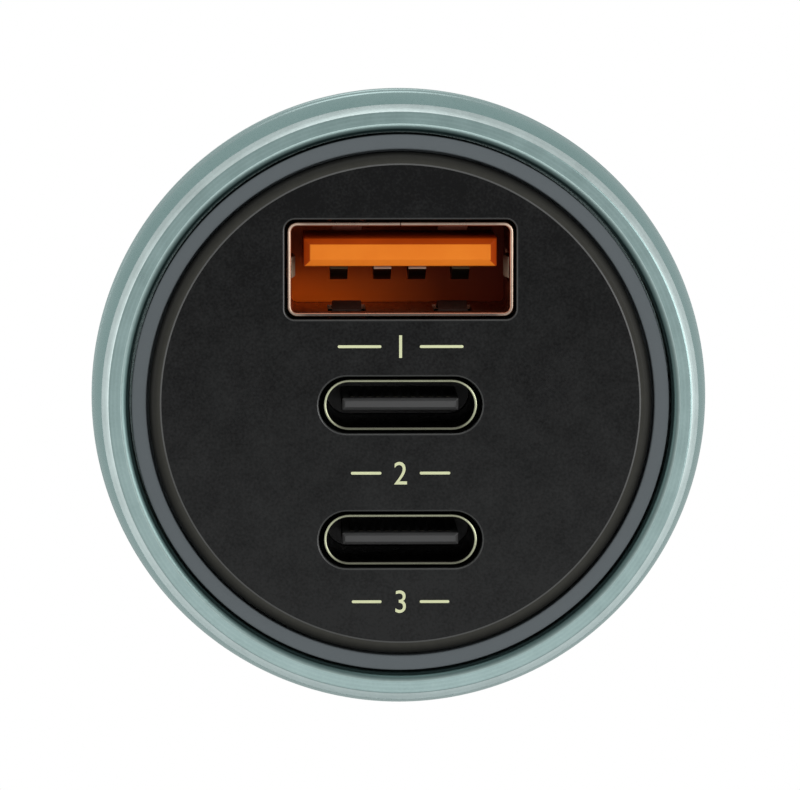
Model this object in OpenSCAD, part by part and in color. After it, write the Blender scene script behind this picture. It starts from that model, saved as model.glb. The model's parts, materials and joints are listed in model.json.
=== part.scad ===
// Three-port charger plug for a car's 12 V accessory socket.
// The axis of the plug lies along Y: the face with the ports looks towards -Y, the barrel
// points towards +Y and +Z is up. The origin is on the axis, at the shoulder where the
// barrel starts. All sizes are in millimetres.
// Each module draws its piece standing up, with the axis along Z and the face on top,
// and laid() turns it into place.

/* [Head] */
// Largest radius of the head
head_r = 17.87; // [15:0.1:21]
// Length of the head from the shoulder to the front rim
head_len = 24; // [22.5:0.5:30]
// Radius of the shoulder that stops against the socket
shoulder_r = 12.6; // [11.6:0.1:13.6]
// Height of the straight collar at the shoulder
collar_h = 1.2; // [0.6:0.1:2]
// Distance of the widest ring behind the rim
widest_back = 6; // [5.7:0.1:9]
// How much narrower the head is at the foot of the front chamfer
front_flare = 0.72; // [0.3:0.02:0.9]
// Width of the front chamfer across the radius
rim_chamfer_w = 0.4; // [0.3:0.05:0.7]
// Height of the front chamfer along the axis
rim_chamfer_h = 0.6; // [0.3:0.05:0.9]
// Width of the flat band on the front rim
rim_band_w = 0.68; // [0.4:0.02:0.9]
// Width and height of the rounded lip inside the flat band
rim_lip = 0.47; // [0.2:0.01:0.6]
// Distance of the first ring groove behind the rim
groove_1_back = 3.9; // [3.2:0.1:4.2]
// Distance of the second ring groove behind the rim
groove_2_back = 5.1; // [4.8:0.1:5.6]
// Width of a ring groove at the surface
groove_w = 0.36; // [0.2:0.02:0.5]
// Depth of a ring groove
groove_d = 0.16; // [0.05:0.01:0.3]
// How square the back of the head is: 2 is an ellipse, more is squarer
back_power = 1.8; // [1.6:0.1:3]

/* [Light ring and face plate] */
// Gap between the rim and the light ring
ring_gap = 0.15; // [0.08:0.01:0.25]
// Width of the light ring
ring_w = 0.87; // [0.6:0.01:1]
// Depth of the light ring below the rim
ring_recess = 0.45; // [0.2:0.05:0.8]
// Size of the small bevels on the light ring's front edges
ring_edge = 0.08; // [0.04:0.01:0.15]
// Height of the light ring's seat below the rim
ring_seat_back = 3; // [2.6:0.1:4]
// Gap between the light ring and the face plate
plate_gap = 0.16; // [0.08:0.01:0.25]
// Width of the bevel round the face plate
plate_bevel_w = 0.67; // [0.4:0.01:0.9]
// Height of the bevel round the face plate
plate_bevel_h = 0.55; // [0.3:0.05:0.9]
// Height of the face plate's flat above the rim
plate_proud = 0.12; // [0:0.02:0.4]
// Thickness of the face plate
plate_t = 1.9; // [1.5:0.1:2.4]
// Distance of the skirt inside the face plate's edge
skirt_inset = 1; // [0.9:0.05:1.1]
// Wall of the face plate's skirt
skirt_t = 0.75; // [0.6:0.05:0.85]
// Wall of the light ring's tube that carries light forward
guide_t = 0.6; // [0.4:0.05:0.6]
// Width of the small bevel round each port opening
port_bevel = 0.1; // [0.05:0.01:0.25]

/* [USB-A port] */
// Gap between the corners of the USB-A shell and the face plate's skirt
usb_a_skirt_gap = 0.37; // [0.3:0.01:0.8]
// Width inside the USB-A shell
usb_a_w = 12.5; // [12.3:0.02:12.6]
// Height inside the USB-A shell
usb_a_h = 4.95; // [4.8:0.01:5.1]
// Sheet thickness of the USB-A shell
usb_a_sheet = 0.25; // [0.2:0.01:0.3]
// Corner radius outside the USB-A shell
usb_a_corner = 0.6; // [0.4:0.05:0.9]
// Width of the seam where the folded USB-A shell meets, along the middle of its top
usb_a_seam = 0.08; // [0.04:0.01:0.15]
// Length of the windows in the USB-A shell, each with a spring finger
usb_a_window_l = 5.2; // [4.5:0.1:6]
// Width of the windows above and below
usb_a_window_w = 2.2; // [1.8:0.1:2.6]
// Width of the windows in the sides
usb_a_side_window_w = 1.7; // [1.4:0.1:2]
// Distance of the windows behind the shell's front edge
usb_a_window_back = 1.3; // [1:0.1:2]
// Gap on each side of a spring finger
finger_gap = 0.25; // [0.15:0.05:0.3]
// How far the fingers above and below bow into the port
finger_bow = 0.42; // [0.3:0.02:0.5]
// How far the side fingers bow into the port
side_finger_bow = 0.36; // [0.2:0.02:0.4]
// Distance of the windows above and below from the middle
usb_a_window_x = 3.05; // [2.8:0.05:3.3]
// Width of the USB-A tongue
usb_a_tongue_w = 11.1; // [10.8:0.05:11.2]
// Thickness of the USB-A tongue
usb_a_tongue_t = 1.74; // [1.6:0.02:1.8]
// Height of the tongue's underside above the port's middle
usb_a_tongue_up = 0.03; // [0:0.01:0.08]
// Distance of the tongue's front edge behind the shell's edge
usb_a_tongue_back = 0.6; // [0.3:0.05:1.5]
// Bevel on the front edges of the USB-A tongue
usb_a_nose = 0.34; // [0.2:0.02:0.4]
// Width of a solder tab under the USB-A shell
usb_a_tab_w = 1.4; // [1:0.1:1.8]
// Distance of the USB-A solder tabs from the port's middle
usb_a_tab_y = 1.5; // [1.2:0.1:1.6]
// Width of one USB-A contact strip
usb_a_contact_w = 1; // [0.8:0.05:1.1]
// Thickness of one USB-A contact strip
usb_a_contact_t = 0.2; // [0.15:0.01:0.25]
// How far a contact bows down from the tongue
usb_a_contact_bow = 0.62; // [0.4:0.02:0.9]
// Distance of the two inner contacts from the middle
usb_a_contact_in = 1; // [0.95:0.01:1.1]
// Distance of the two outer contacts from the middle
usb_a_contact_out = 3.5; // [3.3:0.05:3.7]

/* [USB-C ports] */
// Gap between the lower USB-C shell and the face plate's skirt
usb_c_skirt_gap = 2.82; // [2:0.02:3.4]
// Share of the free height between the outer ports that lies above the middle port
usb_c_share = 0.427; // [0.4:0.001:0.5]
// Width inside a USB-C shell
usb_c_w = 8.45; // [8.3:0.01:8.6]
// Height inside a USB-C shell
usb_c_h = 2.56; // [2.5:0.01:2.7]
// Sheet thickness of a USB-C shell
usb_c_sheet = 0.2; // [0.15:0.01:0.25]
// Width of a USB-C tongue
usb_c_tongue_w = 6.69; // [6.5:0.01:6.8]
// Thickness of a USB-C tongue
usb_c_tongue_t = 0.7; // [0.6:0.01:0.8]
// Distance of the tongue's front edge behind the shell's edge
usb_c_tongue_back = 0.55; // [0.3:0.05:1.2]
// Bevel on the front edges of a USB-C tongue
usb_c_nose = 0.2; // [0.1:0.01:0.25]
// Width of a solder tab under a USB-C shell
usb_c_tab_w = 1; // [0.7:0.1:1.3]
// Distance of the USB-C solder tabs from the port's middle
usb_c_tab_x = 2.6; // [2.2:0.1:2.9]
// Thickness of the steel plate inside a USB-C tongue
usb_c_midplate_t = 0.15; // [0.1:0.01:0.2]
// Distance between neighbouring USB-C contacts
usb_c_pitch = 0.5; // [0.48:0.01:0.52]
// Number of contacts on each side of a USB-C tongue
usb_c_count = 12; // [8:2:12]

/* [Ports on their board] */
// Height of the port shells above their board
port_h = 11; // [10:0.1:12]
// Distance of the port shells' front edge behind the face plate's flat
port_recess = 0.14; // [0.05:0.01:0.4]
// Gap round the USB-A shell in its opening in the face plate
usb_a_gap = 0.13; // [0.1:0.01:0.35]
// Gap round a USB-C shell in its opening in the face plate
usb_c_gap = 0.27; // [0.1:0.01:0.35]
// Height of the plastic base in each port
port_base_h = 2.4; // [2:0.1:3]
// Thickness of the round port board
port_board_t = 1.2; // [0.8:0.1:1.6]
// How far tabs and pins stand out behind the port board
tab_out = 0.7; // [0.4:0.1:1]
// Room that a tab has in its slot, in all
tab_room = 0.3; // [0.2:0.05:0.4]
// Thickness of the carrier ring under the port board
carrier_t = 1.2; // [1:0.1:1.6]
// Width of the carrier ring across the radius
carrier_w = 1.2; // [1:0.1:1.3]
// Length of the carrier's guides along the main board
guide_len = 4; // [3:0.5:5]
// Width of a guide across the main board
guide_w = 4; // [3:0.5:5]
// How deep the main board's edges sit in the guides
guide_depth = 0.8; // [0.5:0.1:1]
// Size of a ring light chip along the ring
led_l = 1; // [0.8:0.1:1.6]
// Number of ring light chips
led_count = 6; // [3:1:12]

/* [Barrel] */
// Radius of the fitted land that centres the plug in the socket
barrel_r = 10.4; // [10.3:0.02:10.5]
// Length of the fitted land from the shoulder
land_len = 12; // [8:0.5:13]
// How much slimmer the barrel is past its land
barrel_relief = 0.2; // [0.17:0.01:0.3]
// Length of the barrel from the shoulder to the nose cap
barrel_len = 44; // [42:1:56]
// Bevel on the barrel's open end
barrel_edge = 0.2; // [0.1:0.05:0.3]
// Wall of the barrel
barrel_wall = 1; // [0.9:0.05:1.1]
// Length of the thicker wall inside the head, where the barrel's bore starts
bore_start = 3; // [2:0.5:4]
// Wall of the insulating sleeve
sleeve_t = 0.4; // [0.3:0.05:0.5]
// Gap between the sleeve and the barrel
sleeve_gap = 0.05; // [0.03:0.01:0.1]

/* [Side contacts] */
// Width of a side contact strip
side_w = 4; // [3.4:0.1:4.2]
// Thickness of a side contact strip
side_t = 0.4; // [0.3:0.02:0.45]
// How far a side contact stands out of the barrel
side_out = 1; // [0.7:0.05:1.2]
// Length of the slot in the barrel
slot_len = 17; // [15:0.5:18]
// Distance of the slot's near end from the barrel's end
slot_from_end = 10; // [9.5:0.1:11]
// Gap between the strip and the slot's sides
slot_gap = 0.4; // [0.3:0.05:0.6]
// Distance of the rolled end behind the slot
side_foot = 4; // [3.6:0.1:4.4]
// Length of the free end that stays under the barrel's wall
side_tail = 3; // [2:0.1:4]
// Radius of the rolled end that the strip turns on
side_roll_r = 0.55; // [0.45:0.01:0.6]
// Largest turn of a side contact, in degrees
side_turn = 6; // [5:0.5:6.5]

/* [Nose and tip] */
// Thickness of the nose cap's flange
nose_flange_t = 1; // [0.6:0.1:1.6]
// Length of the nose cap past the barrel
nose_len = 9.5; // [8.5:0.1:12]
// Radius of the nose cap at its front edge
nose_end_r = 5.4; // [5:0.1:6]
// Length of the nose cap's skirt inside the barrel
nose_skirt_len = 7.8; // [7.5:0.1:8.4]
// Wall of the nose cap's skirt
nose_skirt_t = 2; // [1.8:0.1:2.2]
// Height of the web between the nose cap's skirt and its tube
nose_web_h = 1.5; // [1:0.1:2]
// How much the nose cap steps in in front of its flange
nose_step = 0.4; // [0.2:0.05:0.6]
// Wall of the tube that guides the spring
nose_tube_t = 1; // [0.8:0.1:1.2]
// Radius of the tip contact's pin
tip_r = 3.2; // [2.8:0.05:3.3]
// Gap between the tip and the nose cap
tip_gap = 0.1; // [0.05:0.01:0.2]
// How far the tip stands out of the nose cap
tip_out = 5; // [4:0.1:6]
// How far the tip can be pressed in
tip_travel = 3; // [2:0.1:3.2]
// Height of the tip's dome
tip_dome = 2.2; // [1.6:0.1:2.6]
// Thickness of the nose cap's mouth, where the tip comes through
mouth_t = 2.5; // [2:0.1:3]
// Width of the flange round the tip's foot
tip_flange_w = 1.3; // [1.1:0.1:1.4]
// Thickness of the flange round the tip's foot
tip_flange_t = 1.4; // [1:0.1:1.8]
// Wire diameter of the tip spring
spring_wire = 0.6; // [0.5:0.05:0.65]
// Number of turns in the tip spring
spring_turns = 6.5; // [5:0.5:7]
// Gap between the tip spring and the tube round it
spring_gap = 0.4; // [0.3:0.05:0.5]
// Length left in the tip spring when the tip is pressed in
spring_spare = 1.9; // [1.4:0.1:2.4]
// Length of the tip's spigot inside the spring
tip_spigot = 1.6; // [1:0.1:2]
// Length of the seat's spigot inside the spring
seat_spigot = 0.8; // [0.5:0.1:1.2]
// Thickness of the spring's seat
seat_t = 0.8; // [0.6:0.1:1.2]
// Width of the seat's tag on the main board
seat_tag_w = 2.4; // [2:0.1:3]
// Length of the seat's tag on the main board
seat_tag_l = 2; // [1.4:0.1:2.2]
// Thickness of the seat's tag
seat_tag_t = 0.3; // [0.2:0.05:0.4]

/* [Main board] */
// Thickness of the main board
board_t = 1.2; // [1:0.1:1.6]
// Gap between the main board's edges and the sleeve
board_gap = 0.5; // [0.3:0.05:0.8]
// Width of the board's two front tabs
tab_w = 2; // [1.4:0.1:2.4]
// Slope at the notch between the front tabs
notch_slope = 0.3; // [0.1:0.1:0.5]
// Distance of the main board's front edge behind the port tabs
tab_gap = 0.5; // [0.3:0.1:0.8]
// Distance of the first parts behind the main board's front edge
edge_gap = 1.7; // [1:0.1:2.5]
// Gap between neighbouring parts along the main board
part_gap = 0.65; // [0.4:0.05:0.8]
// Radius of the input capacitor
input_cap_r = 3.15; // [2.5:0.05:3.2]
// Length of the input capacitor
input_cap_len = 11; // [9:0.5:11.5]
// Radius of an output capacitor
output_cap_r = 2.5; // [2:0.05:2.6]
// Length of an output capacitor
output_cap_len = 7; // [6:0.5:7.5]
// Length of a capacitor's bent wires
lead_out = 0.9; // [0.6:0.1:1]
// Side of a square power inductor
inductor_w = 6.6; // [5:0.1:7]
// Height of a power inductor
inductor_h = 3.2; // [2.5:0.1:4]
// Side of a square converter chip
chip_w = 5; // [4:0.1:5.2]
// Height of the flat chips above the board
chip_h = 0.9; // [0.7:0.05:1.1]
// Side of a square power transistor
transistor_w = 3; // [2.4:0.1:3.2]
// Length of a ceramic capacitor; its width and height are half of that
ceramic_len = 1.6; // [1:0.1:2]
// Number of ceramic capacitors in each row
ceramic_count = 4; // [1:1:5]
// Length of the fuse
fuse_len = 6; // [4:0.5:6.5]
// Width of the fuse
fuse_w = 2.6; // [2:0.1:3]
// Height of the fuse
fuse_h = 2.4; // [2:0.1:2.8]

/* [Hidden] */
$fn = 96;
CUT = 0.5;
FIT = 0.05;

// Radii of the head, from the outside in
chamfer_foot_r = head_r - front_flare;
rim_r = chamfer_foot_r - rim_chamfer_w;
rim_in_r = rim_r - rim_band_w;
mouth_r = rim_in_r - rim_lip;
ring_out_r = mouth_r - ring_gap;
ring_in_r = ring_out_r - ring_w;
plate_r = ring_in_r - plate_gap;
flat_r = plate_r - plate_bevel_w;
skirt_r = plate_r - skirt_inset;
guide_in_r = skirt_r + 2 * FIT;
guide_r = guide_in_r + guide_t;
head_bore_r = guide_r + FIT;
port_board_r = head_bore_r - 2 * FIT;

// Heights along the axis, counted from the shoulder towards the face
ring_seat_z = head_len - ring_seat_back;
plate_z = head_len + plate_proud;
plate_back_z = plate_z - plate_t;
port_front_z = plate_z - port_recess;
port_foot_z = port_front_z - port_h;
port_board_back_z = port_foot_z - port_board_t;
ledge_z = port_board_back_z - carrier_t;
widest_z = head_len - widest_back;
barrel_bore_r = barrel_r - barrel_wall;
slim_r = barrel_r - barrel_relief;
ledge_in_r = head_bore_r - carrier_w - 2 * FIT;
nose_end_z = -barrel_len - nose_len;

// The openings of the two kinds of port
usb_a_out_w = usb_a_w + 2 * usb_a_sheet;
usb_a_out_h = usb_a_h + 2 * usb_a_sheet;
usb_c_out_w = usb_c_w + 2 * usb_c_sheet;
usb_c_out_h = usb_c_h + 2 * usb_c_sheet;

// Where the ports stand: the outer two near the skirt, the third between them
port_room_r = skirt_r - skirt_t;
usb_a_up = sqrt(pow(port_room_r - usb_a_skirt_gap, 2) - pow(usb_a_out_w / 2, 2)) - usb_a_out_h / 2;
usb_c_lower_up = -sqrt(pow(port_room_r - usb_c_skirt_gap - usb_c_out_h / 2, 2)
    - pow((usb_c_out_w - usb_c_out_h) / 2, 2));
free_top = usb_a_up - usb_a_out_h / 2;
free_h = free_top - usb_c_lower_up - 1.5 * usb_c_out_h;
usb_c_upper_up = free_top - usb_c_share * free_h - usb_c_out_h / 2;

// The sleeve, the side contacts and the room that they need
sleeve_r = barrel_bore_r - sleeve_gap;
sleeve_in_r = sleeve_r - sleeve_t;
slot_end_z = -barrel_len + slot_from_end;
slot_start_z = slot_end_z + slot_len;
side_x = sqrt(pow(barrel_bore_r - 0.08, 2) - pow(side_w / 2, 2)) - side_t / 2;
side_crest_x = barrel_r + side_out - side_t / 2;
side_pivot_z = slot_end_z - side_foot;
side_pivot_x = side_x - side_roll_r + side_t / 2 - FIT;
side_tip_z = slot_start_z + side_tail;
side_sweep = (side_tip_z - side_pivot_z) * sin(side_turn) + side_t;

// The nose, the tip and its spring
chamber_r = tip_r + tip_flange_w + 2 * FIT;
mouth_back_z = nose_end_z + mouth_t;
nose_skirt_z = -barrel_len + nose_skirt_len;
nose_tube_r = chamber_r + nose_tube_t;
tip_foot_z = mouth_back_z + tip_flange_t;
spring_r = chamber_r - spring_gap - 2 * FIT;
spring_in_r = spring_r - spring_wire - 0.2;
spring_solid = (spring_turns + 1) * spring_wire;
seat_z = tip_foot_z + tip_travel + spring_solid + spring_spare;
board_end_z = seat_z + seat_t;

// The main board and where its parts stand
board_w = 2 * (sleeve_in_r - board_gap);
waist_w = 2 * (side_x - side_sweep - 0.3);
board_foot_w = 2 * (chamber_r - 0.3);
waist_z = side_tip_z + 1.5;
waist_end_z = nose_skirt_z - 0.7;
tab_x = usb_c_out_w / 2 + part_gap + tab_w / 2;
front_z = port_board_back_z;
notch_z = front_z - tab_out - tab_gap;
notch_w = 2 * tab_x - tab_w - part_gap;

// The parts along the main board, from the front and from the rear
inductor_z = notch_z - edge_gap - inductor_w / 2;
output_cap_z = inductor_z - inductor_w / 2 - 2 * part_gap;
converter_1_z = output_cap_z - part_gap - chip_w / 2;
transistor_z = converter_1_z - chip_w / 2 - part_gap - transistor_w / 2;
rear_z = waist_end_z + part_gap;
fuse_z = rear_z + fuse_len / 2;
input_cap_z = rear_z + fuse_len + part_gap + lead_out;
converter_2_z = rear_z + part_gap + chip_w / 2;
protocol_w = chip_w * 0.8;
protocol_z = converter_2_z + chip_w / 2 + 2 * part_gap + protocol_w / 2;

// Points of an arc round a centre, from angle a to angle b
function arc(x, y, r, a, b, n) =
    [for (i = [0:n]) let (t = a + (b - a) * i / n) [x + r * cos(t), y + r * sin(t)]];

// A rectangle with round corners, or a slot with round ends where the radius is half its height
function rounded(w, h, r, n = 8) =
    let (q = min(r, h / 2 - 0.01), x = w / 2 - q, y = h / 2 - q)
    concat(arc(x, y, q, 0, 90, n), arc(-x, y, q, 90, 180, n), arc(-x, -y, q, 180, 270, n),
        arc(x, -y, q, 270, 360, n));

// The outline of a strip of thickness t that follows a path
function side_step(p, i) = p[min(i + 1, len(p) - 1)] - p[max(i - 1, 0)];
function across(v, t) = t / 2 / norm(v) * [-v[1], v[0]];
function strip(p, t) = concat(
    [for (i = [0:len(p) - 1]) p[i] + across(side_step(p, i), t)],
    [for (i = [len(p) - 1:-1:0]) p[i] - across(side_step(p, i), t)]);

// Lays a piece that is drawn upright along the plug's own axis
module laid() rotate([90, 0, 0]) children();

// A flat outline in the board's plane (across, along the axis), thick in the third direction
module board_slab(t) translate([0, t / 2, 0]) rotate([90, 0, 0]) linear_extrude(t) children();

// A flat outline in the upright plane (up, along the axis), w wide across
module upright_slab(w) translate([-w / 2, 0, 0]) rotate([90, 0, 90]) linear_extrude(w) children();

// A block centred on the axis in x and y and standing on z = 0
module block(x, y, z) translate([-x / 2, -y / 2, 0]) cube([x, y, z]);

// A thin-walled tube with its foot at z
module tube(r, inner, z, h) translate([0, 0, z]) difference() {
    cylinder(r = r, h = h);
    translate([0, 0, -CUT]) cylinder(r = inner, h = h + 2 * CUT);
}

// Radius of the head's back at a height: a rounded bowl from the collar to the widest ring
function back_r(z) = shoulder_r + (head_r - shoulder_r)
    * pow(1 - pow((widest_z - z) / (widest_z - collar_h), back_power), 1 / back_power);

// A ring groove in the outside of the head, as three points at its distance behind the rim
function flare_r(back) = chamfer_foot_r
    + front_flare * sin(90 * (back - rim_chamfer_h) / (widest_back - rim_chamfer_h));
function groove(back) = [
    [flare_r(back + groove_w / 2), head_len - back - groove_w / 2],
    [flare_r(back) - groove_d, head_len - back],
    [flare_r(back - groove_w / 2), head_len - back + groove_w / 2]];

// One turned aluminium body: bowl-shaped head, shoulder and barrel, bored from the front,
// with a slot on each side for the ground contacts
module housing() color([0.56, 0.66, 0.65]) laid() difference() {
    rotate_extrude() polygon(concat(
        [[barrel_bore_r, -barrel_len], [slim_r - barrel_edge, -barrel_len],
            [slim_r, -barrel_len + barrel_edge], [slim_r, -land_len - barrel_relief],
            [barrel_r, -land_len], [barrel_r, 0], [shoulder_r, 0]],
        [for (i = [0:18]) let (z = collar_h + (widest_z - collar_h) * (1 - cos(i * 5))) [back_r(z), z]],
        groove(groove_2_back),
        groove(groove_1_back),
        [for (back = [2.9, 1.8]) [flare_r(back), head_len - back]],
        [[chamfer_foot_r, head_len - rim_chamfer_h], [rim_r, head_len], [rim_in_r, head_len]],
        arc(rim_in_r, head_len - rim_lip, rim_lip, 105, 180, 5),
        [[mouth_r, ring_seat_z], [head_bore_r, ring_seat_z], [head_bore_r, ledge_z], [ledge_in_r, ledge_z],
            [barrel_bore_r, bore_start]]));
    for (side = [-1, 1]) translate([side * barrel_r, 0, slot_end_z])
        block(4 * barrel_wall, side_w + 2 * slot_gap, slot_len);
}

// The frosted ring round the face, with the tube behind it that brings the light forward
module light_ring() color([0.36, 0.39, 0.40]) laid() rotate_extrude() polygon([
    [guide_in_r, port_foot_z + 0.6], [guide_r, port_foot_z + 0.6], [guide_r, ring_seat_z],
    [ring_out_r, ring_seat_z], [ring_out_r, head_len - ring_recess - ring_edge],
    [ring_out_r - ring_edge, head_len - ring_recess], [ring_in_r + ring_edge, head_len - ring_recess],
    [ring_in_r, head_len - ring_recess - ring_edge], [ring_in_r, plate_back_z], [guide_in_r, plate_back_z]]);

// The opening for one port in the face plate, with a small bevel at the front
module port_opening(w, h, r) {
    translate([0, 0, plate_back_z - CUT]) linear_extrude(plate_t + 2 * CUT) polygon(rounded(w, h, r));
    hull() {
        translate([0, 0, plate_z - port_bevel]) linear_extrude(0.01) polygon(rounded(w, h, r));
        translate([0, 0, plate_z]) linear_extrude(CUT)
            polygon(rounded(w + 2 * port_bevel, h + 2 * port_bevel, r + port_bevel));
    }
}

// The black face: a bevelled disc with three openings and a skirt that presses on the port board
module face_plate() color([0.13, 0.13, 0.13]) laid() {
    difference() {
        rotate_extrude() polygon(concat(
            [[0, plate_back_z], [plate_r, plate_back_z], [plate_r, plate_z - plate_bevel_h]],
            [for (a = [15:15:75]) [flat_r + plate_bevel_w * cos(a), plate_z - plate_bevel_h * (1 - sin(a))]],
            [[flat_r, plate_z], [0, plate_z]]));
        translate([0, usb_a_up, 0])
            port_opening(usb_a_out_w + 2 * usb_a_gap, usb_a_out_h + 2 * usb_a_gap, usb_a_corner);
        for (up = [usb_c_upper_up, usb_c_lower_up]) translate([0, up, 0])
            port_opening(usb_c_out_w + 2 * usb_c_gap, usb_c_out_h + 2 * usb_c_gap, usb_c_h);
    }
    tube(skirt_r, skirt_r - skirt_t, port_foot_z, plate_back_z - port_foot_z + FIT);
}

// The moulded ring under the port board, with two grooved guides for the main board's edges
module board_carrier() color([0.2, 0.2, 0.21]) laid() {
    inner = ledge_in_r + FIT;
    outer = head_bore_r - FIT;
    tube(outer, inner, ledge_z, carrier_t);
    difference() {
        intersection() {
            rotate_extrude() polygon([[0, ledge_z - guide_len],
                [cone_r(ledge_z - guide_len) - 0.15, ledge_z - guide_len], [cone_r(ledge_z) - 0.15, ledge_z],
                [inner + 0.3, ledge_z], [inner + 0.3, port_board_back_z], [0, port_board_back_z]]);
            for (side = [-1, 1])
                translate([side * (board_w / 2 - guide_depth + outer / 2), 0, ledge_z - guide_len])
                    block(outer, guide_w, guide_len + carrier_t);
        }
        translate([0, 0, ledge_z - guide_len - CUT])
            block(board_w + 2 * FIT, board_t + 2 * FIT, guide_len + carrier_t + 2 * CUT);
    }
}

// Radius of the cone inside the head, between the barrel's bore and the ledge
function cone_r(z) = barrel_bore_r + (ledge_in_r - barrel_bore_r) * (z - bore_start) / (ledge_z - bore_start);

// The places of the solder tabs under the port shells
usb_a_tabs = [for (x = [-1, 1], y = [-1, 1]) [x * (usb_a_w + usb_a_sheet) / 2, usb_a_up + y * usb_a_tab_y]];
function usb_c_tabs(up) =
    [for (x = [-1, 1], y = [-1, 1]) [x * usb_c_tab_x, up + y * (usb_c_h + usb_c_sheet) / 2]];
usb_a_contacts = [-usb_a_contact_out, -usb_a_contact_in, usb_a_contact_in, usb_a_contact_out];
contact_up = usb_a_up + usb_a_tongue_up - usb_a_contact_t * 0.75;

// The round board that the ports stand on, with slots for their tabs and for the main board
module port_board() color([0.08, 0.25, 0.16]) laid() difference() {
    translate([0, 0, port_board_back_z]) cylinder(r = port_board_r, h = port_board_t);
    translate([0, 0, port_board_back_z - CUT]) {
        for (p = usb_a_tabs) translate(p)
            block(usb_a_sheet + tab_room, usb_a_tab_w + tab_room, port_board_t + 2 * CUT);
        for (up = [usb_c_upper_up, usb_c_lower_up], p = usb_c_tabs(up)) translate(p)
            block(usb_c_tab_w + tab_room, usb_c_sheet + tab_room, port_board_t + 2 * CUT);
        for (x = usb_a_contacts) translate([x, contact_up, 0]) cylinder(r = 0.45, h = port_board_t + 2 * CUT);
        for (side = [-1, 1]) translate([side * tab_x, 0, 0])
            block(tab_w + 2 * FIT, board_t + 2 * FIT, port_board_t + 2 * CUT);
    }
}

// Light chips on the port board, under the light ring's tube
module led_chips() color([0.95, 0.93, 0.75]) laid() for (i = [0:led_count - 1])
    rotate([0, 0, (i + 0.5) * 360 / led_count]) translate([0, (guide_in_r + guide_r) / 2 - FIT, port_foot_z])
        block(led_l, guide_t - 0.15, 0.4);

// A spring finger of sheet metal: it leaves the wall and bows inwards by the given height
function finger(reach, bow, n = 10) =
    [for (i = [0:n]) [-bow * pow(sin(150 * i / n), 2) * 1.1, reach * i / n]];

// The folded steel shell of the USB-A port, with its windows, spring fingers and solder tabs
module usb_a_shell() color([0.75, 0.72, 0.70]) laid() {
    window_z = port_front_z - usb_a_window_back - usb_a_window_l;
    root_z = window_z - 0.3;
    reach = usb_a_window_l;
    sheet = usb_a_sheet - FIT;
    mid_y = (usb_a_h + usb_a_sheet) / 2;
    mid_x = (usb_a_w + usb_a_sheet) / 2;
    translate([0, usb_a_up, 0]) {
        difference() {
            translate([0, 0, port_foot_z]) linear_extrude(port_h) difference() {
                polygon(rounded(usb_a_out_w, usb_a_out_h, usb_a_corner));
                polygon(rounded(usb_a_w, usb_a_h, usb_a_corner - usb_a_sheet));
            }
            for (x = [-1, 1], y = [-1, 1]) translate([x * usb_a_window_x, y * mid_y, window_z])
                block(usb_a_window_w, 4 * usb_a_sheet, usb_a_window_l);
            for (x = [-1, 1]) translate([x * mid_x, 0, window_z])
                block(4 * usb_a_sheet, usb_a_side_window_w, usb_a_window_l);
            translate([0, mid_y, port_foot_z - CUT]) block(usb_a_seam, 4 * usb_a_sheet, port_h + 2 * CUT);
        }
        for (x = [-1, 1], y = [-1, 1]) translate([x * usb_a_window_x, y * mid_y, root_z])
            mirror([0, y < 0 ? 1 : 0, 0]) upright_slab(usb_a_window_w - 2 * finger_gap)
                polygon(strip(finger(reach, finger_bow), sheet));
        for (x = [-1, 1]) translate([x * mid_x, 0, root_z])
            mirror([x < 0 ? 1 : 0, 0, 0]) board_slab(usb_a_side_window_w - 2 * finger_gap)
                polygon(strip(finger(reach, side_finger_bow), sheet));
    }
    for (p = usb_a_tabs) translate([p[0], p[1], port_board_back_z - tab_out])
        block(usb_a_sheet, usb_a_tab_w, port_board_t + tab_out + 0.4);
}

// The moulded block of the USB-A port, with the tongue that carries the contacts
module usb_a_tongue() color([0.92, 0.42, 0.12]) laid() translate([0, usb_a_up, 0]) {
    tongue_z = port_front_z - usb_a_tongue_back;
    nose = usb_a_nose;
    up = usb_a_tongue_up;
    top = up + usb_a_tongue_t;
    half = usb_a_tongue_w / 2;
    difference() {
        union() {
            translate([0, 0, port_foot_z]) linear_extrude(port_base_h)
                polygon(rounded(usb_a_w - 4 * FIT, usb_a_h - 4 * FIT, usb_a_corner - usb_a_sheet));
            intersection() {
                upright_slab(usb_a_tongue_w) polygon([[up, port_foot_z], [top, port_foot_z],
                    [top, tongue_z - nose], [top - nose, tongue_z], [up + nose, tongue_z],
                    [up, tongue_z - nose]]);
                translate([0, (up + top) / 2, 0]) board_slab(2 * usb_a_tongue_t) polygon([
                    [-half, port_foot_z], [half, port_foot_z], [half, tongue_z - nose],
                    [half - nose, tongue_z], [nose - half, tongue_z], [-half, tongue_z - nose]]);
            }
        }
        for (x = usb_a_contacts) {
            translate([x, contact_up - usb_a_up, port_foot_z - CUT])
                block(usb_a_contact_w + 0.15, usb_a_contact_t + 0.1, port_base_h + CUT + 1);
            translate([x, up, port_foot_z + port_base_h])
                block(usb_a_contact_w + 0.15, 0.8, tongue_z - 0.55 - port_foot_z - port_base_h);
        }
    }
}

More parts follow.
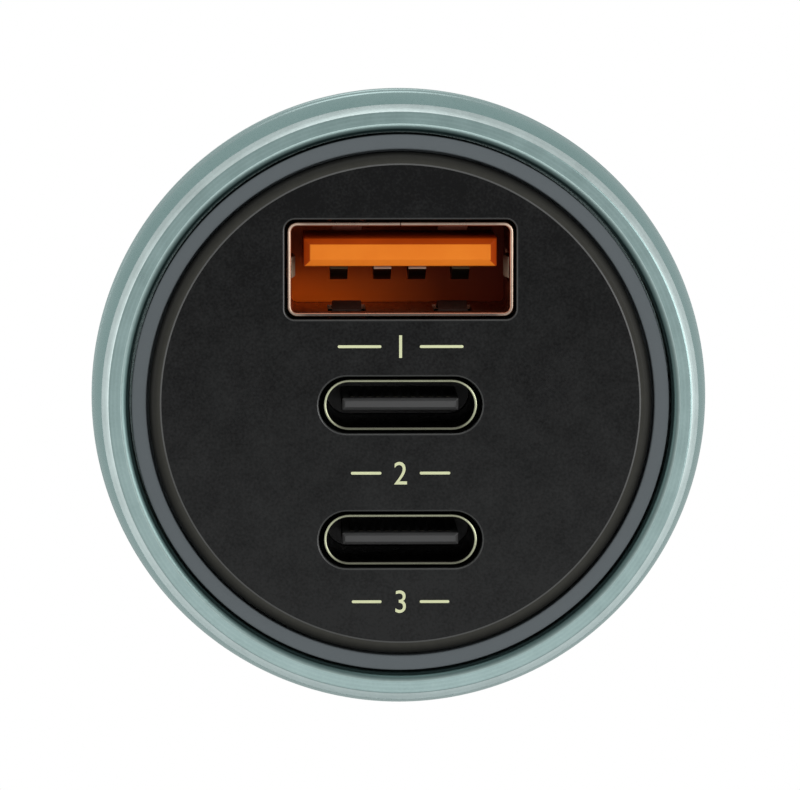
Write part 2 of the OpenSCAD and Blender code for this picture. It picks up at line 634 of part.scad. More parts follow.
// One sprung contact of the USB-A port: a straight tail through the board and a bow under the tongue
module usb_a_contact(i) color([0.83, 0.78, 0.62]) laid() {
    bow_z = port_foot_z + port_base_h + 0.6;
    bow_len = port_front_z - usb_a_tongue_back - 0.9 - bow_z;
    tail_z = port_board_back_z - tab_out;
    path = concat([[0, tail_z], [0, bow_z - 0.3]],
        [for (k = [0:14]) let (u = k / 14)
            [-usb_a_contact_bow * pow(sin(180 * pow(u, 1.35)), 2) + 0.16 * pow(u, 6), bow_z + bow_len * u]]);
    translate([usb_a_contacts[i], contact_up, 0]) {
        intersection() {
            upright_slab(usb_a_contact_w) polygon(strip(path, usb_a_contact_t));
            union() {
                translate([0, 0, tail_z - CUT]) block(0.6, usb_a_h, port_foot_z - tail_z + 2 * CUT);
                translate([0, 0, port_foot_z + 0.3]) block(2 * usb_a_contact_w, usb_a_h, port_h);
            }
        }
    }
}

// The drawn steel shell of a USB-C port: a slot-shaped tube on four tabs
module usb_c_shell(up) color([0.78, 0.77, 0.68]) laid() {
    translate([0, up, port_foot_z]) linear_extrude(port_h) difference() {
        polygon(rounded(usb_c_out_w, usb_c_out_h, usb_c_out_h / 2));
        polygon(rounded(usb_c_w, usb_c_h, usb_c_h / 2));
    }
    for (p = usb_c_tabs(up)) translate([p[0], p[1], port_board_back_z - tab_out])
        block(usb_c_tab_w, usb_c_sheet - 0.04, port_board_t + tab_out + 0.3);
}

// The moulded block and tongue of a USB-C port, open inside for the steel plate
module usb_c_tongue(up) color([0.1, 0.1, 0.1]) laid() translate([0, up, 0]) {
    tongue_z = port_front_z - usb_c_tongue_back;
    nose = usb_c_nose;
    half = usb_c_tongue_t / 2;
    difference() {
        union() {
            translate([0, 0, port_foot_z]) linear_extrude(port_base_h)
                polygon(rounded(usb_c_w - 2 * FIT, usb_c_h - 2 * FIT, usb_c_h / 2));
            upright_slab(usb_c_tongue_w) polygon([[-half, port_foot_z + 1], [half, port_foot_z + 1],
                [half, tongue_z - nose], [half - nose, tongue_z], [nose - half, tongue_z],
                [-half, tongue_z - nose]]);
        }
        translate([0, 0, port_foot_z - CUT])
            block(usb_c_tongue_w + CUT, usb_c_midplate_t + 0.02, tongue_z - 0.4 - port_foot_z + CUT);
    }
}

// The steel plate inside a USB-C tongue
module usb_c_midplate(up) color([0.7, 0.7, 0.7]) laid() translate([0, up, port_foot_z])
    block(usb_c_tongue_w, usb_c_midplate_t, port_h - usb_c_tongue_back - 0.45);

// The contact strips on both faces of a USB-C tongue
module usb_c_contacts(up) color([0.85, 0.7, 0.35]) laid() translate([0, up, port_foot_z + port_base_h + FIT])
    for (i = [0:usb_c_count - 1], y = [-1, 1])
        translate([(i - (usb_c_count - 1) / 2) * usb_c_pitch, y * (usb_c_tongue_t / 2 + 0.02), 0])
            block(0.24, 0.04, port_h - port_base_h - usb_c_tongue_back - 0.9);

// The long board: two tabs and a notch in front, wide in the head, waisted beside the side
// contacts, narrow in the nose cap
module main_board() color([0.08, 0.25, 0.16]) laid() board_slab(board_t) {
    polygon([[-board_w / 2, front_z], [-board_w / 2, waist_z],
        [-waist_w / 2, waist_z - 1], [-waist_w / 2, waist_end_z],
        [-board_foot_w / 2, waist_end_z], [-board_foot_w / 2, board_end_z],
        [board_foot_w / 2, board_end_z], [board_foot_w / 2, waist_end_z],
        [waist_w / 2, waist_end_z], [waist_w / 2, waist_z - 1],
        [board_w / 2, waist_z], [board_w / 2, front_z],
        [notch_w / 2, front_z], [notch_w / 2 - notch_slope, notch_z],
        [notch_slope - notch_w / 2, notch_z], [-notch_w / 2, front_z]]);
    for (side = [-1, 1]) translate([side * tab_x - tab_w / 2, front_z - 0.5])
        square([tab_w, port_board_t + 0.7]);
}

// Stands a component on the upper (1) or lower (-1) face of the main board, at x and z
module on_board(face, x, z) translate([x, 0, z]) rotate([face > 0 ? -90 : 90, 0, 0])
    translate([0, 0, board_t / 2]) children();

// A square power inductor: a pressed block with a terminal at each end
module inductor(face) color([0.3, 0.3, 0.32]) laid() on_board(face, 0, inductor_z) {
    cut = 0.6;
    half = inductor_w / 2;
    translate([0, 0, 0.12]) linear_extrude(inductor_h - 0.12) polygon([
        [cut - half, -half], [half - cut, -half], [half, cut - half], [half, half - cut],
        [half - cut, half], [cut - half, half], [-half, half - cut], [-half, cut - half]]);
    for (side = [-1, 1]) translate([0, side * (half - 0.8), 0]) block(inductor_w * 0.45, 1.5, 0.3);
}

// An electrolytic capacitor that lies along the board on its two bent wires
module capacitor(face, x, z, r, length) laid() on_board(face, x, z) translate([0, face * length / 2, r]) {
    crimp = length * 0.14;
    rotate([face * 90, 0, 0]) {
        rotate_extrude() polygon([[0, 0], [r - 0.35, 0], [r, 0.35], [r, crimp], [r - 0.3, crimp + 0.35],
            [r, crimp + 0.7], [r, length - 0.3], [r - 0.3, length], [0, length]]);
        for (side = [-1, 1]) translate([side * r * 0.42, 0, -lead_out])
            cylinder(r = 0.25, h = lead_out + 0.2, $fn = 24);
    }
    for (side = [-1, 1]) translate([side * r * 0.42, face * (lead_out - 0.15), -r])
        cylinder(r = 0.25, h = r + 0.2, $fn = 24);
}

module output_capacitor(side) color([0.75, 0.76, 0.78])
    capacitor(1, side * (output_cap_r + 0.25), output_cap_z - output_cap_len / 2, output_cap_r,
        output_cap_len);

module input_capacitor() color([0.2, 0.22, 0.3])
    capacitor(1, 0, input_cap_z + input_cap_len / 2, input_cap_r, input_cap_len);

// A flat leadless chip with a dimple at its first corner and a metal pad below
module flat_chip(w, h) difference() {
    union() {
        translate([0, 0, 0.1]) block(w, w, h - 0.1);
        block(w * 0.7, w * 0.7, 0.2);
    }
    translate([-w * 0.34, -w * 0.34, h - 0.08]) cylinder(r = 0.3, h = 1, $fn = 24);
}

module converter_chip(z) color([0.12, 0.12, 0.13]) laid() on_board(-1, 0, z) flat_chip(chip_w, chip_h);

module protocol_chip() color([0.12, 0.12, 0.13]) laid()
    on_board(-1, 0, protocol_z) flat_chip(protocol_w, chip_h);

// Four power transistors beside the converter chips
module power_transistors() color([0.15, 0.15, 0.16]) laid()
    for (x = [-1, 1], i = [0, 1])
        on_board(-1, x * (transistor_w + part_gap) / 2, transistor_z - i * (transistor_w + part_gap))
            flat_chip(transistor_w, chip_h);

// Ceramic capacitors in two rows on the upper face, near the nose
module ceramic_capacitors() color([0.72, 0.6, 0.45]) laid()
    for (x = [-1, 1], i = [0:ceramic_count - 1])
        on_board(1, x * (waist_w - ceramic_len) / 2 - x * 0.2, rear_z + ceramic_len / 2 + i * (ceramic_len + 1))
            block(ceramic_len / 2, ceramic_len, ceramic_len / 2);

// The fuse on the upper face, in the line from the tip
module fuse() color([0.85, 0.8, 0.7]) laid() on_board(1, 0, fuse_z) {
    cap = fuse_len / 5;
    block(fuse_w, fuse_len - 0.2, fuse_h);
    for (side = [-1, 1]) translate([0, side * (fuse_len - cap) / 2, 0])
        block(fuse_w + 0.2, cap, fuse_h + 0.1);
}

// The thin plastic sleeve between the boards and the barrel, slotted for the side contacts
module insulating_sleeve() color([0.85, 0.8, 0.55]) laid() difference() {
    tube(sleeve_r, sleeve_in_r, nose_skirt_z + FIT, bore_start - nose_skirt_z - 0.2);
    for (side = [-1, 1]) translate([side * sleeve_r, 0, nose_skirt_z - CUT])
        block(4 * sleeve_t + 1, side_w + 1.2, side_tip_z + 0.6 - nose_skirt_z + CUT);
}

// A side contact: a sprung strip that bows out through the slot and turns on its rolled end
module ground_spring(side) color([0.8, 0.8, 0.78]) laid() mirror([side < 0 ? 1 : 0, 0, 0]) {
    rise = side_crest_x - side_x;
    bow_z = slot_end_z + 0.5;
    bow_len = slot_len - 1;
    board_slab(side_w) polygon(strip(concat([[side_x, side_pivot_z], [side_x, bow_z - 0.5]],
        [for (i = [0:24]) [side_x + rise * pow(sin(180 * i / 24), 2), bow_z + bow_len * i / 24]],
        [[side_x, side_tip_z - 0.6], [side_x - 0.25, side_tip_z]]), side_t));
    translate([side_pivot_x, side_w / 2, side_pivot_z]) rotate([90, 0, 0])
        cylinder(r = side_roll_r, h = side_w, $fn = 48);
}

// The moulded nose: a flange on the barrel's end, a rounded front, a tube for the spring and a
// skirt inside the barrel with a pocket for each side contact's rolled end
module nose_cap() color([0.1, 0.1, 0.1]) laid() difference() {
    skirt = barrel_bore_r - 2 * FIT;
    curve_z = -barrel_len - nose_flange_t;
    web_z = -barrel_len + nose_web_h;
    rotate_extrude() polygon(concat(
        [[chamber_r, waist_end_z - 0.15], [chamber_r, mouth_back_z],
            [tip_r + tip_gap, mouth_back_z], [tip_r + tip_gap, nose_end_z]],
        [for (a = [0:10:90]) [nose_end_r + (slim_r - nose_step - nose_end_r) * sin(a),
            curve_z + (nose_end_z - curve_z) * cos(a)]],
        [[slim_r - nose_step, curve_z], [slim_r, curve_z + 0.2], [slim_r, -barrel_len], [skirt, -barrel_len],
            [skirt, nose_skirt_z - 0.3], [skirt - 0.3, nose_skirt_z],
            [skirt - nose_skirt_t, nose_skirt_z], [skirt - nose_skirt_t, web_z],
            [nose_tube_r, web_z], [nose_tube_r, waist_end_z - 0.15]]));
    for (side = [-1, 1]) {
        translate([side * (side_pivot_x + 1.5 - side_roll_r - FIT), 0, side_pivot_z - side_roll_r - FIT])
            block(3, side_w + 4 * FIT, nose_skirt_len);
    }
}

// The tip: a domed pin with a flange that the nose cap holds and a spigot inside the spring
module tip_contact() color([0.82, 0.82, 0.8]) laid() {
    tip_z = nose_end_z - tip_out;
    rotate_extrude() polygon(concat(
        [[0, tip_foot_z + tip_spigot], [spring_in_r - 0.15, tip_foot_z + tip_spigot],
            [spring_in_r, tip_foot_z], [tip_r + tip_flange_w, tip_foot_z],
            [tip_r + tip_flange_w, mouth_back_z + FIT], [tip_r, mouth_back_z + FIT],
            [tip_r, tip_z + tip_dome]],
        [for (a = [15:15:90]) [tip_r * cos(a), tip_z + tip_dome * (1 - sin(a))]]));
}

// The spring behind the tip: one round wire along a helix whose ends are closed
spring_sides = 8;
spring_steps = 15 * spring_turns;
spring_pitch_r = spring_r - spring_wire / 2;
function rise_at(u) = u - sin(360 * u) / 360 * 25;
module tip_spring() color([0.75, 0.75, 0.74]) laid() {
    low = tip_foot_z + spring_wire / 2 + FIT;
    high = seat_z - spring_wire / 2 - FIT;
    rings = [for (i = [0:spring_steps])
        let (u = i / spring_steps, a = 360 * spring_turns * u, z = low + (high - low) * rise_at(u))
        [for (k = [0:spring_sides - 1])
            let (b = 360 * k / spring_sides, r = spring_pitch_r + spring_wire / 2 * cos(b))
            [r * cos(a), r * sin(a), z + spring_wire / 2 * sin(b)]]];
    last = len(rings) - 1;
    polyhedron(
        points = [for (ring = rings, p = ring) p],
        faces = concat(
            [[for (k = [0:spring_sides - 1]) k]],
            [for (i = [0:last - 1], k = [0:spring_sides - 1])
                let (a = i * spring_sides, n = (k + 1) % spring_sides)
                [a + k, a + spring_sides + k, a + spring_sides + n, a + n]],
            [[for (k = [spring_sides - 1:-1:0]) last * spring_sides + k]]));
}

// The brass seat on the board's end: the spring presses on it and its tag is soldered down
module spring_seat() color([0.8, 0.66, 0.35]) laid() {
    rotate_extrude() polygon([[0, seat_z - seat_spigot], [spring_in_r - 0.15, seat_z - seat_spigot],
        [spring_in_r, seat_z], [chamber_r - 2 * FIT, seat_z], [chamber_r - 2 * FIT, board_end_z],
        [0, board_end_z]]);
    translate([0, (board_t + seat_tag_t) / 2, board_end_z - FIT])
        block(seat_tag_w, seat_tag_t, seat_tag_l + FIT);
}

housing();
light_ring();
face_plate();
board_carrier();
port_board();
led_chips();
usb_a_shell();
usb_a_tongue();
for (i = [0:3]) usb_a_contact(i);
usb_c_shell(usb_c_upper_up);  // usb_c_upper_shell
usb_c_tongue(usb_c_upper_up);  // usb_c_upper_tongue
usb_c_midplate(usb_c_upper_up);  // usb_c_upper_midplate
usb_c_contacts(usb_c_upper_up);  // usb_c_upper_contacts
usb_c_shell(usb_c_lower_up);  // usb_c_lower_shell
usb_c_tongue(usb_c_lower_up);  // usb_c_lower_tongue
usb_c_midplate(usb_c_lower_up);  // usb_c_lower_midplate
usb_c_contacts(usb_c_lower_up);  // usb_c_lower_contacts
main_board();
inductor(1);  // inductor_1
inductor(-1);  // inductor_2
output_capacitor(-1);  // output_capacitor_1
output_capacitor(1);  // output_capacitor_2
input_capacitor();
converter_chip(converter_1_z);  // converter_chip_1
converter_chip(converter_2_z);  // converter_chip_2
protocol_chip();
power_transistors();
ceramic_capacitors();
fuse();
insulating_sleeve();
ground_spring(-1);  // ground_spring_left
ground_spring(1);  // ground_spring_right
nose_cap();
tip_contact();
tip_spring();
spring_seat();
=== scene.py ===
# %% [markdown]
# # A car USB charger plug
#
# This lesson dresses a charger plug for a car's 12 V socket: a turned metal body, a black face
# with one orange USB-A port and two USB-C ports, a nose with a sprung tip, and a sprung contact
# on each side. The construction comes from a packed CAD model, the frame. Every surface that
# shows is built or finished here, and rides on the frame's bodies.
#
# The plug lies along Y: its face looks towards -Y, its tip points towards +Y, and Z is up.

# %% Load the frame
import json
import math

import bmesh
import bpy
import numpy as np
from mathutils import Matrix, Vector
from mathutils.geometry import tessellate_polygon

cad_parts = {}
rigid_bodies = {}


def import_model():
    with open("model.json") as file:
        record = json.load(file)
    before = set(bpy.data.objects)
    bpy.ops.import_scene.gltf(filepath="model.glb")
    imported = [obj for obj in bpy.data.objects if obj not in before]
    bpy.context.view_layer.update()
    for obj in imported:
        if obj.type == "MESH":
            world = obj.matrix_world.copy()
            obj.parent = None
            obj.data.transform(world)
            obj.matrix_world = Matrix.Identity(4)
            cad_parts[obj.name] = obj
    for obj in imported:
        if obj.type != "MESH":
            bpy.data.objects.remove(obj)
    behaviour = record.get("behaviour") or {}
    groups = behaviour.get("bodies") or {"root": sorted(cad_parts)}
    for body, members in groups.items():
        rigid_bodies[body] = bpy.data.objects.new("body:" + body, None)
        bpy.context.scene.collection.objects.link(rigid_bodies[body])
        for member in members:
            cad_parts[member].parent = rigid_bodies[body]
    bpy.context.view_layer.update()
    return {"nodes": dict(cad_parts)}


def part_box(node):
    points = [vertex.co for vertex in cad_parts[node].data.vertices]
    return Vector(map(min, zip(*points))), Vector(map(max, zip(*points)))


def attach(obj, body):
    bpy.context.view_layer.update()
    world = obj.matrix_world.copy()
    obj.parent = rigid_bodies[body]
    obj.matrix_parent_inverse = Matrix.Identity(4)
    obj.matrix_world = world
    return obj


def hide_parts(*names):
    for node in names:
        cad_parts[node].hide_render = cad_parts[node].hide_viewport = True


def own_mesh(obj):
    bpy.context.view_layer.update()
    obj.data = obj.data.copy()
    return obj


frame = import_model()
nodes = frame["nodes"]

# %% [markdown]
# ## Sizes
#
# Sizes are in millimetres, as on a turner's drawing, and become metres only when a mesh is made.
# They could all be typed in again from the CAD model. What a node's box can tell is read from
# the frame instead, so that a piece can't drift away from its node. Only the small steps that
# no box shows, such as a chamfer, are values of this lesson.

# %% Sizes read from the frame
MM = 0.001


def ends(node, axis):
    """The lowest and highest coordinate of a node along an axis, in millimetres."""
    low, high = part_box(node)
    return low[axis] / MM, high[axis] / MM


RIM, BODY_BACK = ends("housing", 1)
HEAD_R = ends("housing", 0)[1]
FACE = ends("face_plate", 1)[0]
PLATE_R = ends("face_plate", 0)[1]
PORT_FRONT = ends("usb_a_shell", 1)[0]
PORT_FOOT = ends("port_board", 1)[0]
print("rim at", round(RIM, 2), "face at", round(FACE, 2), "head radius", round(HEAD_R, 2))

# %% [markdown]
# ## Surfaces from numbers
#
# The plug's parts are turned on a lathe, drawn through a die or moulded. They could be modelled
# by hand with Spin and Extrude. Here each is worked out as a grid of points instead: a profile
# carried round an axis, or an outline carried through a few depths. One function makes the faces
# of any grid, and Blender gets the whole array in one call, so that every size is exact.

# %% From points and faces to a piece
MERGE = 1e-7
SHARP = math.radians(32)
SQUARE_ON = 0.9999


def settle(mesh):
    """Merges doubles, turns the normals outwards and shades smoothly up to an angle.

    Faces square to the plug's axis, where the normal is all Y, stay flat.
    """
    work = bmesh.new()
    work.from_mesh(mesh)
    bmesh.ops.remove_doubles(work, verts=work.verts, dist=MERGE)
    bmesh.ops.dissolve_degenerate(work, edges=work.edges, dist=MERGE)
    bmesh.ops.recalc_face_normals(work, faces=work.faces)
    work.to_mesh(mesh)
    work.free()
    mesh.shade_smooth()
    mesh.set_sharp_from_angle(angle=SHARP)
    normals = np.empty(len(mesh.polygons) * 3)
    mesh.polygons.foreach_get("normal", normals)
    mesh.polygons.foreach_set("use_smooth", np.abs(normals.reshape(-1, 3)[:, 1]) < SQUARE_ON)


def piece(name, parts):
    """One object from a list of (points in mm, faces) parts."""
    points, faces, first = [], [], 0
    for part_points, part_faces in parts:
        part_points = np.asarray(part_points, float).reshape(-1, 3)
        points.append(part_points * MM)
        faces += [[int(i) + first for i in face] for face in part_faces]
        first += len(part_points)
    mesh = bpy.data.meshes.new(name)
    mesh.from_pydata(np.concatenate(points).tolist(), [], faces)
    settle(mesh)
    made = bpy.data.objects.new(name, mesh)
    bpy.context.scene.collection.objects.link(made)
    print(f"{name}: {len(mesh.vertices)} vertices")
    return made


print("edges above", round(math.degrees(SHARP)), "degrees stay sharp")


# %% Faces of a grid
def grid(points, wrap_rows=False, caps=False):
    """Quads between neighbouring rows of closed loops; caps close the first and last row."""
    rows, columns = points.shape[:2]
    row = np.arange(rows if wrap_rows else rows - 1)[:, None]
    column = np.arange(columns)[None, :]
    below, beside = (row + 1) % rows * columns, (column + 1) % columns
    corners = [row * columns + column, row * columns + beside, below + beside, below + column]
    faces = np.stack([corner.ravel() for corner in corners], 1).tolist()
    if caps:
        faces.append(list(range(columns))[::-1])
        faces.append([(rows - 1) * columns + i for i in range(columns)])
    return points, faces


def moved(part, x=0.0, up=0.0):
    """A part set off sideways and upwards, in mm."""
    points, faces = part
    return points + [x, 0, up], faces


print("a grid of 3 loops of 8 points has", len(grid(np.zeros((3, 8, 3)), caps=True)[1]), "faces")

# %% [markdown]
# ## Profiles and outlines
#
# No edge of the real plug is quite sharp: a tool or a mould leaves a small round on each, and
# that round is what catches the light. A Bevel modifier could add it later. It is put into the
# profile here, because each corner then has the radius that its own tool would leave.

# %% Rounded corners
MOST_CUT = 0.45


def eased(corners, radius, steps=4, closed=True):
    """Cuts each corner and bridges it with a curve: (1-t)^2 a + 2t(1-t) p + t^2 b."""
    p = np.asarray(corners, float)
    radius = np.broadcast_to(radius, len(p)).astype(float)
    back, on = np.roll(p, 1, 0) - p, np.roll(p, -1, 0) - p
    back_len, on_len = np.linalg.norm(back, axis=1), np.linalg.norm(on, axis=1)
    cut = np.minimum(radius, MOST_CUT * np.minimum(back_len, on_len))
    if not closed:
        cut[[0, -1]] = 0
    a = (p + back / back_len[:, None] * cut[:, None])[:, None]
    b = (p + on / on_len[:, None] * cut[:, None])[:, None]
    t = np.linspace(0, 1, steps + 1)[None, :, None]
    return ((1 - t) ** 2 * a + 2 * t * (1 - t) * p[:, None] + t**2 * b).reshape(-1, 2)


square = [[0, 0], [1, 0], [1, 1], [0, 1]]
print("a square with eased corners has", len(eased(square, 0.1)), "points")

# %% Carried round the axis
TURNS = 288


def spun(profile, turns=TURNS):
    """Each (radius, y) point becomes a ring: (r cos a, y, r sin a)."""
    r, y = np.asarray(profile, float).T
    a = np.linspace(0, 2 * np.pi, turns, endpoint=False)
    return np.stack([np.outer(r, np.cos(a)), np.outer(y, np.ones(turns)), np.outer(r, np.sin(a))], -1)


def turned(profile, turns=TURNS):
    """A closed profile carried round Y, as on a lathe."""
    return grid(spun(profile, turns), wrap_rows=True)


print("a square ring turned in 12 steps has", len(turned(square, 12)[1]), "faces")

# %% Carried along the axis
SHORT_SIDE = 0.005


def outline(width, height, radius, steps=10):
    """A rectangle with round corners, as (x, z) points; half its height makes a slot."""
    q = min(radius, height / 2 - SHORT_SIDE)
    corner = np.array([[1, 1], [-1, 1], [-1, -1], [1, -1]])
    angle = np.radians(np.linspace(0, 90, steps + 1)[None, :] + np.arange(4)[:, None] * 90)
    x = corner[:, :1] * (width / 2 - q) + q * np.cos(angle)
    z = corner[:, 1:] * (height / 2 - q) + q * np.sin(angle)
    return np.stack([x.ravel(), z.ravel()], -1)


def lofted(sections, up=0.0, caps=True):
    """Outlines (width, height, corner radius, y) stacked along Y and joined by quads."""
    rows = []
    for width, height, radius, y in sections:
        flat = outline(width, height, radius)
        rows.append(np.stack([flat[:, 0], np.full(len(flat), y), flat[:, 1] + up], -1))
    return grid(np.array(rows), caps=caps)


print("a block through two depths has", len(lofted([(2, 1, 0.2, 0), (2, 1, 0.2, 1)])[1]), "faces")

# %% [markdown]
# ## Finishes as formulas
#
# A finish could be clicked together as a web of nodes. As a formula it is easier to read and to
# change. `Wire` wraps one output of a node and overloads the operators, so `noise * 0.2 + 0.4`
# adds its own Math nodes. `Tree` adds any other node, and `Finish` is a tree that makes a
# material. All patterns read Object coordinates, so they stay with a piece when it moves.

# %% A socket that can be used in a sum
class Wire:
    """One output of a node; sums, products and powers of wires add Math nodes."""

    def __init__(self, tree, socket):
        self.tree, self.socket = tree, socket

    def math(self, operation, *values):
        made = self.tree.nodes.new("ShaderNodeMath")
        made.operation = operation
        for spot, value in zip(made.inputs, values):
            if isinstance(value, Wire):
                self.tree.links.new(value.socket, spot)
            else:
                spot.default_value = value
        return Wire(self.tree, made.outputs[0])

    def __add__(self, other):
        return self.math("ADD", self, other)

    def __sub__(self, other):
        return self.math("SUBTRACT", self, other)

    def __rsub__(self, other):
        return self.math("SUBTRACT", other, self)

    def __mul__(self, other):
        return self.math("MULTIPLY", self, other)

    def __pow__(self, other):
        return self.math("POWER", self, other)

    def __abs__(self):
        return self.math("ABSOLUTE", self)

    __radd__ = __add__
    __rmul__ = __mul__

    def clamped(self):
        """Held between 0 and 1."""
        low = self.math("MAXIMUM", self, 0.0)
        return low.math("MINIMUM", low, 1.0)


print("a wire can", [name.strip("_") for name in vars(Wire) if callable(vars(Wire)[name])])


# %% A tree that grows nodes
class Tree:
    """Adds nodes to the node tree of a material or a world."""

    def __init__(self, tree):
        self.tree = tree

    def feed(self, socket, value):
        """Links a wire to a socket or sets a value on it; a colour gets its alpha."""
        if isinstance(value, Wire):
            self.tree.links.new(value.socket, socket)
        elif isinstance(value, tuple) and len(value) < len(socket.default_value):
            socket.default_value = (*value, 1.0)
        else:
            socket.default_value = value

    def node(self, kind, settings=None, output=0, at=(), **sockets):
        """A node: its settings first, then its sockets, in order with `at` or by name."""
        made = self.tree.nodes.new("ShaderNode" + kind)
        for name, value in (settings or {}).items():
            setattr(made, name, value)
        for spot, value in zip(made.inputs, at):
            self.feed(spot, value)
        for name, value in sockets.items():
            label = name.replace("_", " ")
            self.feed(next(s for s in made.inputs if s.enabled and s.name == label), value)
        return Wire(self.tree, made.outputs[output])


print("a tree can", [name for name in vars(Tree) if not name.startswith("_")])


# %% A material under construction
class Finish(Tree):
    """A material with one Principled shader, fed by formulas."""

    def __init__(self, name, **constants):
        self.material = bpy.data.materials.new(name)
        self.material.use_nodes = True
        super().__init__(self.material.node_tree)
        self.shader = self.tree.nodes["Principled BSDF"]
        self.set(**constants)

    def set(self, **values):
        """Sets or links sockets of the shader; Base_Color means the socket Base Color."""
        for name, value in values.items():
            self.feed(self.shader.inputs[name.replace("_", " ")], value)

    def place(self, scale=(1, 1, 1)):
        """Object coordinates, stretched along the axes."""
        return self.node("Mapping", Vector=self.node("TexCoord", output="Object"), Scale=scale)

    def along(self, axis):
        """The Object coordinate X, Y or Z, in metres."""
        return self.node("SeparateXYZ", output=axis, Vector=self.node("TexCoord", output="Object"))

    def off_axis(self):
        """Distance from the plug's axis, in metres: the length of (x, 0, z)."""
        return self.node("VectorMath", {"operation": "LENGTH"}, output="Value", Vector=self.place((1, 0, 1)))

    def ramp(self, distance, zero_mm, one_mm):
        """0 where a distance is zero_mm, 1 where it is one_mm, straight between and held beyond."""
        return ((distance - zero_mm * MM) * (1 / ((one_mm - zero_mm) * MM))).clamped()

    # A painted highlight along a front edge, where the edge catches the light
    def painted_edge_glint(self, front_mm, depth_mm):
        """1 on the first depth_mm behind a front edge, fading to 0 at three times that."""
        return self.ramp(self.along("Y"), front_mm + 3 * depth_mm, front_mm + depth_mm)

    def noise(self, size_mm, stretch=(1, 1, 1), detail=3.0, roughness=0.55):
        """Noise whose blobs are about size_mm across, pulled out along an axis."""
        scale = tuple(1 / s for s in stretch)
        return self.node("TexNoise", Vector=self.place(scale), Scale=1 / (size_mm * MM), Detail=detail,
                         Roughness=roughness)

    def mix(self, factor, a, b):
        """A colour between a and b."""
        return self.node("Mix", {"data_type": "RGBA"}, output=2, Factor=factor, A=a, B=b)

    def bump(self, height, strength, depth_mm):
        """Grain that is felt as relief, not seen as colour."""
        self.set(Normal=self.node("Bump", Height=height, Strength=strength, Distance=depth_mm * MM))

    def done(self):
        print(f"{self.material.name}: {len(self.tree.nodes)} nodes")
        return self.material


print("a finish can", [name for name in vars(Finish) if not name.startswith("_")])

# %% [markdown]
# ## The metal of the body
#
# The body is aluminium with a teal-grey anodised skin, brushed along the axis. Two things tell
# the eye that it is metal: fine streaks that run along the barrel, and a slow change of tone.
# A photo of brushed metal could be wrapped round it, but would show a seam. Both are noise in
# Object coordinates here; the streaks are noise pulled out forty-five times along the axis.

# %% Brushed metal
TEAL_EDGE = (0.5, 0.62, 0.61)


def brushed_metal(name, light, dark, roughness, streak_mm, edge=(1.0, 1.0, 1.0)):
    """Streaks along the axis over slow clouds; roughness and relief follow the streaks."""
    finish = Finish(name, Metallic=1.0, Specular_Tint=edge)
    streaks = finish.noise(streak_mm, stretch=(1, 45, 1), detail=4.0, roughness=0.7)
    clouds = finish.noise(5.0, detail=2.0)
    tone = (streaks * 0.7 + clouds * 0.45 - 0.1).clamped()
    finish.set(Base_Color=finish.mix(tone, dark, light), Roughness=streaks * 0.16 + (roughness - 0.08))
    finish.bump(streaks, 0.25, 0.012)
    return finish.done()


TEAL_METAL = brushed_metal("teal_metal", (0.315, 0.395, 0.39), (0.16, 0.225, 0.22), 0.28, 0.16, TEAL_EDGE)

# %% [markdown]
# ## The rim's cut faces
#
# The rim is the last thing that the lathe cuts. The flat band round the mouth keeps the skin's
# colour, and the narrow chamfer beside it is paler: a painted highlight. The lower side of both
# is paler too, painted light from below.
# Straight streaks would look wrong on both. Their marks are rings, so the noise is read at the
# distance from the axis and the depth, which makes it the same all the way round.

# %% Turned front edge
RING_MARK = 0.14


def faced_metal(name, light, dark, roughness, edge, painted_low_light):
    """Fine rings round the axis, over clouds and grain.

    The rings are noise read at (radius, depth). The lower side of the rim is made paler by painted_low_light,
    a painted light from below.
    """
    finish = Finish(name, Metallic=1.0, Specular_Tint=edge)
    spot = finish.node("CombineXYZ", X=finish.off_axis(), Y=finish.along("Y"), Z=0.0)
    rings = finish.node("TexNoise", Vector=spot, Scale=1 / (RING_MARK * MM), Detail=2.0, Roughness=0.6)
    clouds, grain = finish.noise(1.6, detail=3.0), finish.noise(0.15, detail=2.0)
    # painted light from below: the lower side of the rim is paler
    low = finish.along("Z") * (painted_low_light / (HEAD_R * MM))
    tone = (rings * 0.45 + clouds * 0.4 + grain * 0.25 - 0.05 - low).clamped()
    finish.set(Base_Color=finish.mix(tone, dark, light), Roughness=clouds * 0.12 + (roughness - 0.06))
    finish.bump(rings * 0.6 + grain * 0.4, 0.2, 0.01)
    return finish.done()


BAND_METAL = faced_metal("front_band", (0.29, 0.385, 0.38), (0.12, 0.18, 0.175), 0.3, TEAL_EDGE, 0.2)
CHAMFER_HIGHLIGHT_METAL = faced_metal("painted_chamfer_highlight", (0.64, 0.75, 0.74), (0.26, 0.31, 0.305), 0.42, (0.8, 0.88, 0.88), 0.3)

# %% [markdown]
# ## The lip inside the rim
#
# Inside the band the metal rolls over a rounded lip into the mouth. Its crest catches the light,
# and the wall below it lies in shade and looks dull. One metal for the whole lip would mirror the
# white room in both. So the shade is painted: colour and metal fade with the distance from the
# axis, from the mouth out to the crest.

# %% Sizes of the rim, and the metal of its lip
FLARE, FLARE_LEN = 0.72, 6.0
RIM_CHAMFER_W, RIM_CHAMFER_H = 0.4, 0.6
RIM_BAND, RIM_LIP = 0.68, 0.47
RIM_R = HEAD_R - FLARE - RIM_CHAMFER_W
RIM_IN_R = RIM_R - RIM_BAND
MOUTH_R = RIM_IN_R - RIM_LIP


